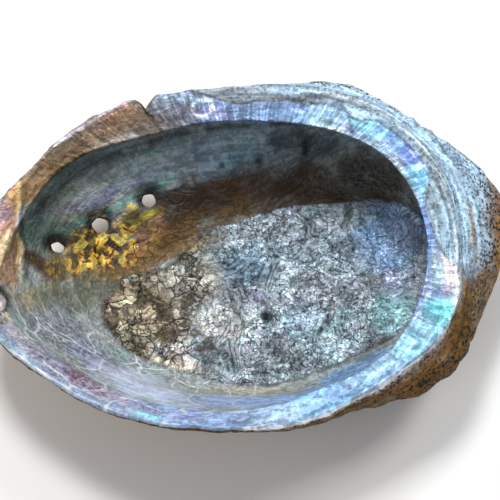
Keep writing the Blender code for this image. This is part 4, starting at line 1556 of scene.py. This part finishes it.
class Graph:
    """Adds nodes to one node tree and links them."""

    def __init__(self, tree: bpy.types.NodeTree) -> None:
        """Keep the tree that the nodes go into."""
        self.tree = tree

    def fill(self, node: bpy.types.Node, inputs: dict[str | int, object]) -> None:
        """Give a node's inputs, by name or number, their values or link them to sockets.

        Args:
            node: The node.
            inputs: Values or sockets by the input's name or number.
        """
        for name, value in inputs.items():
            if isinstance(value, bpy.types.NodeSocket):
                self.tree.links.new(value, node.inputs[name])
            else:
                node.inputs[name].default_value = value

    def add(self, kind: str, inputs: dict[str | int, object] | None = None, **settings: object) \
            -> bpy.types.Node:
        """Add a node, set its choices and fill its inputs.

        Args:
            kind: Blender's name of the node type.
            inputs: Values or sockets by the input's name or number.
            **settings: Properties of the node.

        Returns:
            The new node.
        """
        node = self.tree.nodes.new(kind)
        for name, value in settings.items():
            setattr(node, name, value)
        self.fill(node, inputs or {})
        return node

    def calc(self, operation: str, first: object, second: object = 0.0, third: object = 0.0) -> Socket:
        """Work out one sum on two or three values."""
        return self.add("ShaderNodeMath", {0: first, 1: second, 2: third}, operation=operation).outputs[0]

    def times(self, first: object, *factors: object) -> Socket:
        """Multiply a value by one factor after another."""
        for factor in factors:
            first = self.calc("MULTIPLY", first, factor)
        return first

    def scaled(self, value: object, factor: object, offset: object) -> Socket:
        """Multiply a value by a factor and add an offset."""
        return self.calc("MULTIPLY_ADD", value, factor, offset)

    def fit(self, value: Socket, low: float, high: float, to_low: float = 0.0, to_high: float = 1.0) \
            -> Socket:
        """Bring a value from one range smoothly into another, held at its ends."""
        ends = {0: value, 1: low, 2: high, 3: to_low, 4: to_high}
        return self.add("ShaderNodeMapRange", ends, interpolation_type="SMOOTHSTEP").outputs[0]

    def mix(self, share: object, under: object, over: object) -> Socket:
        """Go from one value to another by a share from 0 to 1."""
        return self.add("ShaderNodeMix", {0: share, 2: under, 3: over}).outputs[0]

    def lay(self, under: object, over: object, share: object, mode: str = "MIX") -> Socket:
        """Lay one colour over another by a share from 0 to 1."""
        node = self.add("ShaderNodeMix", {0: share, 6: under, 7: over}, data_type="RGBA", blend_type=mode)
        return node.outputs[2]

    def grey(self, value: Socket) -> Socket:
        """Turn a value into a grey colour."""
        return self.add("ShaderNodeCombineColor", {0: value, 1: value, 2: value}).outputs[0]

    def ramp(self, value: Socket, stops: tuple) -> Socket:
        """Turn a value into a colour that runs through the stops, pairs of a level and a colour.

        Args:
            value: The value.
            stops: The pairs, from the lowest level up.

        Returns:
            The colour.
        """
        node = self.add("ShaderNodeValToRGB", {0: value})
        for element, (level, tone) in zip(node.color_ramp.elements, (stops[0], stops[-1])):
            element.position = level
            element.color = (*tone, 1.0)
        for level, tone in stops[1:-1]:
            node.color_ramp.elements.new(level).color = (*tone, 1.0)
        return node.outputs[0]

    def noise(self, vector: Socket, scale: float, detail: float = 2.0, distortion: float = 0.0) -> Socket:
        """Cloudy values round a half at the given scale, in repeats to the metre."""
        cloud = {"Vector": vector, "Scale": scale, "Detail": detail, "Distortion": distortion}
        return self.add("ShaderNodeTexNoise", cloud).outputs["Fac"]

    def line(self, value: Socket, width: float) -> Socket:
        """Draw a thin line where a noise crosses its middle level of a half."""
        return self.fit(self.calc("ABSOLUTE", self.calc("SUBTRACT", value, 0.5)), 0.0, width, 1.0, 0.0)

    def cells(self, vector: Socket, scale: float) -> tuple[Socket, Socket]:
        """Split the ground into cells, and give each one's own tone and the distance off its middle."""
        cell = self.add("ShaderNodeTexVoronoi", {"Vector": vector, "Scale": scale})
        tone = self.add("ShaderNodeSeparateColor", {0: cell.outputs["Color"]}).outputs[0]
        return tone, cell.outputs["Distance"]

    def borders(self, vector: Socket, scale: float) -> Socket:
        """Distance off the borders of the same cells."""
        spread = {"Vector": vector, "Scale": scale}
        return self.add("ShaderNodeTexVoronoi", spread, feature="DISTANCE_TO_EDGE").outputs["Distance"]

    def stretched(self, vector: Socket, scale: Triple) -> Socket:
        """Stretch a pattern's ground along its three directions."""
        return self.add("ShaderNodeMapping", {"Vector": vector, "Scale": scale}).outputs[0]

    def warped(self, vector: Socket, scale: float, reach: float) -> Socket:
        """Push a pattern's ground about by coloured noise, by up to half the reach in metres."""
        push = self.add("ShaderNodeTexNoise", {"Vector": vector, "Scale": scale, "Detail": 2.0})
        sums = {0: push.outputs["Color"], 1: (reach, reach, reach), 2: vector}
        return self.add("ShaderNodeVectorMath", sums, operation="MULTIPLY_ADD").outputs[0]

    def group(self, tree: bpy.types.NodeTree, inputs: dict[str | int, object]) -> dict[str, Socket]:
        """Place a node group, fill its inputs and give its outputs by name."""
        return {socket.name: socket for socket in self.add("ShaderNodeGroup", inputs, node_tree=tree).outputs}


class GroupGraph(Graph):
    """The graph of a new node group."""

    def __init__(self, name: str, inputs: dict[str, str], outputs: dict[str, str]) -> None:
        """Start the group with its named sockets.

        Args:
            name: Name of the group.
            inputs: Socket types by name.
            outputs: Socket types by name.
        """
        super().__init__(bpy.data.node_groups.new(name, "ShaderNodeTree"))
        for direction, sockets in (("INPUT", inputs), ("OUTPUT", outputs)):
            for socket_name, kind in sockets.items():
                self.tree.interface.new_socket(socket_name, in_out=direction, socket_type=kind)
        start = self.add("NodeGroupInput")
        self.given = {socket_name: start.outputs[socket_name] for socket_name in inputs}
        self.end = self.add("NodeGroupOutput")

    def put_out(self, results: dict[str, Socket]) -> bpy.types.NodeTree:
        """Link the results to the group's outputs and hand over the finished group."""
        self.fill(self.end, results)
        return self.tree


VALUE, COLOUR, VECTOR = "NodeSocketFloat", "NodeSocketColor", "NodeSocketVector"


@dataclass(frozen=True)
class CrinkleFinish:
    """Crumpled silver of the scar: bright granules, curled layer lines and dark crevices."""

    broad_warp: Pair = (150.0, 0.005)
    fine_warp: Pair = (800.0, 0.0012)
    layer_warp: Pair = (260.0, 0.0016)
    curl_scale: float = 270.0
    curl_width: float = 0.035
    crevice_scale: float = 190.0
    crevice_width: float = 0.02
    granule_scale: float = 540.0
    finer: float = 1.7
    rim_scale: float = 500.0
    coarse_scale: float = 170.0
    layer_scale: float = 46.0
    layers: float = 90.0
    patch_scale: float = 62.0
    cloud_scale: float = 105.0

    def group(self) -> bpy.types.NodeTree:
        """Granules are cells, bright in their middle, in patches; between them run level lines of noise.

        Returns:
            The node group.
        """
        graph = GroupGraph("crinkle", {"Place": VECTOR}, {"Shade": VALUE, "Height": VALUE})
        ground = graph.given["Place"]
        place = graph.warped(graph.warped(ground, *self.broad_warp), *self.fine_warp)
        bright = graph.line(graph.noise(place, self.curl_scale, 3.0, 1.2), self.curl_width)
        crevice = graph.line(graph.noise(place, self.crevice_scale, 4.0, 1.2), self.crevice_width)
        rim = graph.fit(graph.noise(place, self.rim_scale), 0.42, 0.56, 0.15, 0.85)
        granules = []
        for scale in (self.granule_scale, self.finer * self.granule_scale):
            tone, _ = graph.cells(place, scale)
            inner = graph.mix(graph.fit(graph.borders(place, scale), 0.01, 0.16), rim, 1.15)
            granules.append(graph.times(inner, graph.scaled(tone, 1.3, 0.55)))
        coarse = graph.fit(graph.noise(ground, self.coarse_scale), 0.44, 0.56)
        granule = graph.mix(coarse, *granules)
        level = graph.noise(graph.warped(ground, *self.layer_warp), self.layer_scale, 2.0, 0.8)
        wave = graph.calc("SINE", graph.times(level, self.layers))
        sheet = graph.times(graph.fit(wave, -1.0, -0.45, 0.35, 1.1), graph.fit(wave, 0.5, 1.0, 1.0, 1.25))
        patch = graph.fit(graph.noise(ground, self.patch_scale, 4.0, 0.5), 0.45, 0.54)
        cloud = graph.fit(graph.noise(ground, self.cloud_scale, 4.0, 1.0), 0.37, 0.63, 0.55, 1.35)
        shade = graph.times(cloud, graph.mix(patch, sheet, granule),
                            graph.scaled(bright, 0.7, 0.85), graph.scaled(crevice, -0.8, 1.0))
        height = graph.calc("SUBTRACT", graph.scaled(granule, 0.5, bright), crevice)
        return graph.put_out({"Shade": shade, "Height": height})


@dataclass(frozen=True)
class FlakingFinish:
    """Flaking plates at the front of the scar: stepped tones, thin dark outlines, white grains."""

    broad_warp: Pair = (110.0, 0.009)
    fine_warp: Pair = (700.0, 0.002)
    plate_scale: float = 140.0
    plate_line: float = 0.06
    chip_scale: float = 380.0
    chip_line: float = 0.1
    grain_scale: float = 900.0
    patch_scale: float = 110.0

    def group(self) -> bpy.types.NodeTree:
        """Tones by cell of two sizes of warped cells, and dark lines on their borders.

        Returns:
            The node group.
        """
        graph = GroupGraph("flaking", {"Place": VECTOR}, {"Shade": VALUE, "Height": VALUE})
        ground = graph.given["Place"]
        place = graph.warped(graph.warped(ground, *self.broad_warp), *self.fine_warp)
        tones, lines = [], []
        for scale, width in ((self.plate_scale, self.plate_line), (self.chip_scale, self.chip_line)):
            tones.append(graph.cells(place, scale)[0])
            lines.append(graph.fit(graph.borders(place, scale), 0.0, width))
        tone = graph.scaled(tones[1], 0.45, graph.times(tones[0], 0.55))
        grains = graph.scaled(graph.noise(ground, self.grain_scale, 3.0), 1.4, -0.5)
        patchy = graph.fit(graph.noise(ground, self.patch_scale), 0.42, 0.56)
        drawn = graph.times(lines[0], graph.mix(patchy, 1.0, lines[1]))
        shade = graph.times(graph.scaled(tone, 1.9, grains), graph.fit(drawn, 0.0, 1.0, 0.1, 1.1))
        return graph.put_out({"Shade": shade, "Height": graph.times(tone, drawn)})


@dataclass(frozen=True)
class WebFinish:
    """Pale web of fine lines under the surface of the thin lip."""

    broad_warp: Pair = (55.0, 0.011)
    fine_warp: Pair = (420.0, 0.0016)
    stretch: Triple = (0.75, 0.75, 1.5)
    scale: float = 70.0
    finer: float = 2.6
    line: float = 0.045

    def group(self) -> bpy.types.NodeTree:
        """Lines where two cells of warped ground meet, drawn out along the lip, and fainter ones between.

        Returns:
            The node group.
        """
        graph = GroupGraph("web", {"Strip": VECTOR}, {"Lines": VALUE})
        strip = graph.given["Strip"]
        wavy = graph.warped(graph.warped(strip, *self.broad_warp), *self.fine_warp)
        ground = graph.stretched(wavy, self.stretch)
        drawn = []
        for scale, strength in ((self.scale, 1.0), (self.scale * self.finer, 0.55)):
            line = graph.fit(graph.borders(ground, scale), 0.0, self.line, strength, 0.0)
            broken = graph.fit(graph.noise(strip, scale * 1.3), 0.36, 0.52)
            drawn.append(graph.times(line, broken))
        return graph.put_out({"Lines": graph.calc("MAXIMUM", *drawn)})


@dataclass(frozen=True)
class CrustFinish:
    """Skin of the outside: bore holes, polygon cracks, worn layers and grains."""

    hole_warp: Pair = (320.0, 0.0012)
    hole_scale: float = 700.0
    hole_patches: float = 38.0
    hole_level: float = 0.24
    crack_warp: Pair = (120.0, 0.006)
    crack_scale: float = 125.0
    crack_patches: float = 45.0
    crack_width: float = 0.035
    grain_scale: float = 620.0
    layer_stretch: Triple = (0.1, 0.1, 1.0)
    layer_scale: float = 380.0

    def group(self) -> bpy.types.NodeTree:
        """Round holes in some cells, cracks between broad cells, and a grainy height.

        Returns:
            The node group.
        """
        graph = GroupGraph("crust_skin", {"Place": VECTOR, "Strip": VECTOR},
                           {"Dark": VALUE, "Shade": VALUE, "Height": VALUE})
        ground, strip = graph.given["Place"], graph.given["Strip"]
        chosen, off_middle = graph.cells(graph.warped(ground, *self.hole_warp), self.hole_scale)
        patchy = graph.fit(graph.noise(ground, self.hole_patches, 4.0), 0.4, 0.56, 0.35, 1.0)
        some = graph.calc("GREATER_THAN", graph.times(chosen, patchy), self.hole_level)
        holes = graph.times(graph.fit(off_middle, 0.34, 0.48, 1.0, 0.0), some)
        border = graph.borders(graph.warped(ground, *self.crack_warp), self.crack_scale)
        cracks = graph.times(graph.fit(border, 0.0, self.crack_width, 1.0, 0.0),
                             graph.fit(graph.noise(ground, self.crack_patches), 0.52, 0.66))
        dark = graph.calc("MAXIMUM", holes, graph.times(cracks, 0.85))
        grain = graph.noise(ground, self.grain_scale, 5.0, 0.6)
        layers = graph.noise(graph.stretched(strip, self.layer_stretch), self.layer_scale, 4.0, 0.5)
        worn = graph.calc("ADD", graph.times(grain, 0.6), graph.times(layers, 0.4))
        height = graph.scaled(dark, -1.2, graph.calc("ADD", grain, layers))
        shade = graph.fit(worn, 0.34, 0.66, 0.42, 1.58)
        return graph.put_out({"Dark": dark, "Shade": shade, "Height": height})


@dataclass(frozen=True)
class PearlFinish:
    """Drift of hues and cloudy flecks in the smooth mother-of-pearl."""

    drift_scale: float = 60.0
    drift_stretch: Triple = (0.6, 0.6, 1.6)
    fleck_scale: float = 420.0
    cloud_stretch: Triple = (0.35, 0.35, 1.3)
    hues: tuple = (
        (0.28, (0.72, 1.12, 1.0)), (0.4, (0.82, 1.04, 1.12)), (0.47, (1.0, 1.0, 1.0)),
        (0.55, (0.98, 0.92, 1.14)), (0.64, (1.18, 0.88, 1.04)), (0.74, (1.25, 1.05, 0.7)),
    )

    def group(self) -> bpy.types.NodeTree:
        """A tint from warped noise, and a shade from two sizes of finer noise.

        Returns:
            The node group.
        """
        graph = GroupGraph("pearl", {"Strip": VECTOR, "Place": VECTOR}, {"Tint": COLOUR, "Shade": VALUE})
        strip = graph.given["Strip"]
        drift = graph.noise(graph.stretched(strip, self.drift_stretch), self.drift_scale, 6.0, 1.6)
        fine = graph.noise(graph.given["Place"], self.fleck_scale, 4.0, 0.8)
        broad = graph.noise(graph.stretched(strip, self.cloud_stretch), self.fleck_scale * 0.5, 3.0, 0.8)
        both = graph.calc("ADD", graph.times(fine, 0.5), graph.times(broad, 0.5))
        return graph.put_out({"Tint": graph.ramp(drift, self.hues),
                              "Shade": graph.fit(both, 0.38, 0.62, 0.52, 1.5)})


@dataclass(frozen=True)
class GlintFinish:
    """Gold, orange and lime glints over dark brown, by the open pores."""

    warp: Pair = (200.0, 0.0015)
    scale: float = 290.0
    tones: tuple = (
        (0.43, (0.02, 0.011, 0.004)), (0.475, (0.14, 0.075, 0.012)), (0.515, (0.62, 0.27, 0.022)),
        (0.56, (1.0, 0.58, 0.06)), (0.61, (0.95, 0.76, 0.16)), (0.67, (0.4, 0.38, 0.05)),
        (0.74, (0.9, 0.78, 0.24)),
    )

    def group(self) -> bpy.types.NodeTree:
        """Colours by the level of warped noise."""
        graph = GroupGraph("glints", {"Place": VECTOR}, {"Glint": COLOUR})
        level = graph.noise(graph.warped(graph.given["Place"], *self.warp), self.scale, 6.0, 0.6)
        return graph.put_out({"Glint": graph.ramp(level, self.tones)})


@dataclass(frozen=True)
class NacreFinish:
    """Mother-of-pearl with its drift of hues, the scar's crinkles and the crust outside."""

    pearl_roughness: float = 0.42
    scar_roughness: float = 0.5
    crust_roughness: float = 0.85
    pearl_metal: float = 0.2
    specular: float = 0.35
    bump_depth: float = 0.0007
    bump_strength: float = 0.8
    ripple_strength: float = 0.6
    striae_stretch: Triple = (1.0, 1.0, 0.1)
    striae_scale: float = 520.0
    growth_stretch: Triple = (0.04, 0.04, 1.0)
    growth_scale: float = 620.0
    speckle_scale: float = 620.0
    web_line: Tone = (0.74, 0.8, 0.84, 1.0)
    speckle: Tone = (0.6, 0.62, 0.7, 1.0)
    hole: Tone = (0.012, 0.008, 0.006, 1.0)

    def material(self) -> bpy.types.Material:
        """Build the one material of the shell from its painted masks and the texture groups.

        Returns:
            The material.
        """
        material = bpy.data.materials.new("nacre")
        material.use_nodes = True
        graph = Graph(material.node_tree)
        shader = material.node_tree.nodes["Principled BSDF"]
        place = graph.add("ShaderNodeTexCoord").outputs["Object"]
        field = {name: graph.add("ShaderNodeAttribute", attribute_name=name) for name in PAINTED}
        strip = field["strip"].outputs["Vector"]
        share = {name: node.outputs["Fac"] for name, node in field.items()}
        crinkle = graph.group(CrinkleFinish().group(), {"Place": place})
        flaking = graph.group(FlakingFinish().group(), {"Place": place})
        web = graph.group(WebFinish().group(), {"Strip": strip})
        crust = graph.group(CrustFinish().group(), {"Place": place, "Strip": strip})
        pearl = graph.group(PearlFinish().group(), {"Strip": strip, "Place": place})
        glints = graph.group(GlintFinish().group(), {"Place": place})

        striae = graph.noise(graph.stretched(strip, self.striae_stretch), self.striae_scale, 3.0, 0.6)
        growth = graph.noise(graph.stretched(strip, self.growth_stretch), self.growth_scale, 4.0, 0.2)
        colour = graph.lay(field["paint"].outputs["Color"], pearl["Tint"], share["hue"], "MULTIPLY")
        colour = graph.lay(colour, glints["Glint"], share["gold"])
        calm = graph.scaled(share["web"], -0.3, share["smooth"])
        shade = graph.mix(calm, 1.0, pearl["Shade"])
        shade = graph.mix(share["crinkled"], shade, crinkle["Shade"])
        shade = graph.mix(share["flaky"], shade, flaking["Shade"])
        bold = graph.times(share["crust"], graph.scaled(share["growth"], -0.45, 1.0))
        shade = graph.mix(bold, shade, crust["Shade"])
        shade = graph.times(shade, graph.mix(share["shelf"], 1.0, graph.fit(striae, 0.37, 0.66, 0.66, 1.6)),
                            graph.mix(share["growth"], 1.0, graph.fit(growth, 0.37, 0.63, 0.6, 1.4)))
        colour = graph.lay(colour, graph.grey(shade), 1.0, "MULTIPLY")
        colour = graph.lay(colour, self.web_line, graph.times(web["Lines"], share["web"], 0.85))
        speckle = graph.fit(graph.noise(place, self.speckle_scale, 4.0, 0.6), 0.5, 0.6)
        colour = graph.lay(colour, self.speckle, graph.times(speckle, share["web"], 0.4))
        outer = graph.times(share["crust"], graph.scaled(share["growth"], -0.8, 1.0))
        colour = graph.lay(colour, self.hole, graph.times(crust["Dark"], outer))
        roughness = graph.mix(share["smooth"], self.scar_roughness, self.pearl_roughness)
        roughness = graph.mix(share["crust"], roughness, self.crust_roughness)
        metal = graph.mix(share["crust"], self.pearl_metal, 0.0)

        height = graph.times(pearl["Shade"], share["smooth"])
        for group, name in ((crinkle, "crinkled"), (flaking, "flaky"), (crust, "crust")):
            height = graph.scaled(group["Height"], share[name], height)
        bumps = graph.add("ShaderNodeBump", {"Height": height, "Strength": self.bump_strength,
                                             "Distance": self.bump_depth})
        ripple = graph.scaled(growth, share["growth"], graph.times(striae, share["shelf"]))
        ripples = graph.add("ShaderNodeBump", {"Height": ripple, "Strength": self.ripple_strength,
                                               "Distance": self.bump_depth, "Normal": bumps.outputs[0]})
        graph.fill(shader, {"Specular IOR Level": self.specular, "Base Color": colour,
                            "Roughness": roughness, "Metallic": metal, "Normal": ripples.outputs[0]})
        return material


@dataclass(frozen=True)
class Lamp:
    """A square soft lamp.

    Attributes:
        name: Name of the lamp.
        place: Where it hangs.
        aim: What it points at.
        size: Length of its side.
        power: Power in watts.
        colour: Colour of its light.
    """

    name: str
    place: Triple
    aim: Triple
    size: float
    power: float
    colour: Triple

    def hang(self) -> None:
        """Hang the lamp at its place and turn it to its aim."""
        data = bpy.data.lights.new(self.name, "AREA")
        data.size = self.size * MM
        data.energy = self.power
        data.color = self.colour
        lamp = placed(self.name, data)
        offset = np.array(self.aim) - np.array(self.place)
        flat = math.hypot(offset[0], offset[1])
        turn = math.atan2(offset[1], offset[0]) - math.pi / 2.0
        lamp.location = np.array(self.place) * MM
        lamp.rotation_euler = (math.atan2(flat, -offset[2]), 0.0, turn)


@dataclass
class Studio:
    """The pale floor, soft lamps and the camera above the front edge of the shell."""

    elevation: float = 66.0
    distance: float = 450.0
    target: Triple = (1.95, -1.4, 35.0)
    lens: float = 84.3
    shift_y: float = 0.016
    floor_size: float = 6000.0
    floor_colour: Tone = (0.9, 0.9, 0.9, 1.0)
    floor_roughness: float = 0.9
    sky_light: Tone = (0.25, 0.265, 0.29, 1.0)
    sky_seen: Tone = (0.9, 0.91, 0.92, 1.0)
    lamps: tuple[Lamp, ...] = (
        Lamp("key", (-130.0, 440.0, 1000.0), (0.0, 0.0, 30.0), 240.0, 8.0, (1.0, 1.0, 0.99)),
        Lamp("right", (460.0, 300.0, 640.0), (-40.0, -20.0, 20.0), 220.0, 2.6, (1.0, 0.98, 0.94)),
        Lamp("front", (-420.0, -500.0, 700.0), (0.0, 0.0, 30.0), 360.0, 1.3, (1.0, 0.98, 0.94)),
        Lamp("low_left", (-420.0, 20.0, 90.0), (-60.0, 10.0, 0.0), 160.0, 0.45, (1.0, 0.74, 0.5)),
    )

    def camera(self) -> None:
        """Place the camera at the photograph's viewing angle."""
        data = bpy.data.cameras.new("camera")
        data.lens = self.lens
        data.shift_y = self.shift_y
        camera = placed("camera", data)
        tilt = math.radians(self.elevation)
        back = np.array((0.0, -math.cos(tilt), math.sin(tilt)))
        camera.location = (np.array(self.target) + back * self.distance) * MM
        camera.rotation_euler = (math.radians(90.0) - tilt, 0.0, 0.0)
        bpy.context.scene.camera = camera

    def floor(self) -> None:
        """Lay a wide square of pale paper under the shell."""
        half = 0.5 * self.floor_size * MM
        corners = [(-half, -half, 0), (half, -half, 0), (half, half, 0), (-half, half, 0)]
        mesh = bpy.data.meshes.new("floor")
        mesh.from_pydata(corners, [], [(0, 1, 2, 3)])
        paper = bpy.data.materials.new("pale_floor")
        paper.use_nodes = True
        shader = paper.node_tree.nodes["Principled BSDF"]
        look = {"Base Color": self.floor_colour, "Roughness": self.floor_roughness}
        Graph(paper.node_tree).fill(shader, look)
        mesh.materials.append(paper)
        placed("floor", mesh)

    def build(self) -> None:
        """Lay the floor, set the sky and hang the lamps."""
        self.floor()
        world = bpy.data.worlds.new("studio")
        world.use_nodes = True
        graph = Graph(world.node_tree)
        seen = graph.add("ShaderNodeLightPath").outputs["Is Camera Ray"]
        graph.fill(world.node_tree.nodes["Background"], {0: graph.lay(self.sky_light, self.sky_seen, seen)})
        bpy.context.scene.world = world
        for lamp in self.lamps:
            lamp.hang()
        bpy.context.scene.view_settings.view_transform = "Standard"


def main() -> None:
    """Load the frame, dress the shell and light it."""
    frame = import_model()
    logging.basicConfig(level=logging.INFO, format="%(name)s: %(message)s")
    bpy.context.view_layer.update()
    LOG.info("frame holds %s", sorted(frame["nodes"]))
    studio = Studio()
    studio.camera()
    shell = ShellPiece(ShellForm(), PoreRow(), MuscleScar(), Crust(), ShelfDetail()).build()
    shell.data.materials.append(NacreFinish().material())
    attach(shell, "root")
    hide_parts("shell")
    LOG.info("%s has %d faces", shell.name, len(shell.data.polygons))
    studio.build()


if __name__ == "__main__":
    main()
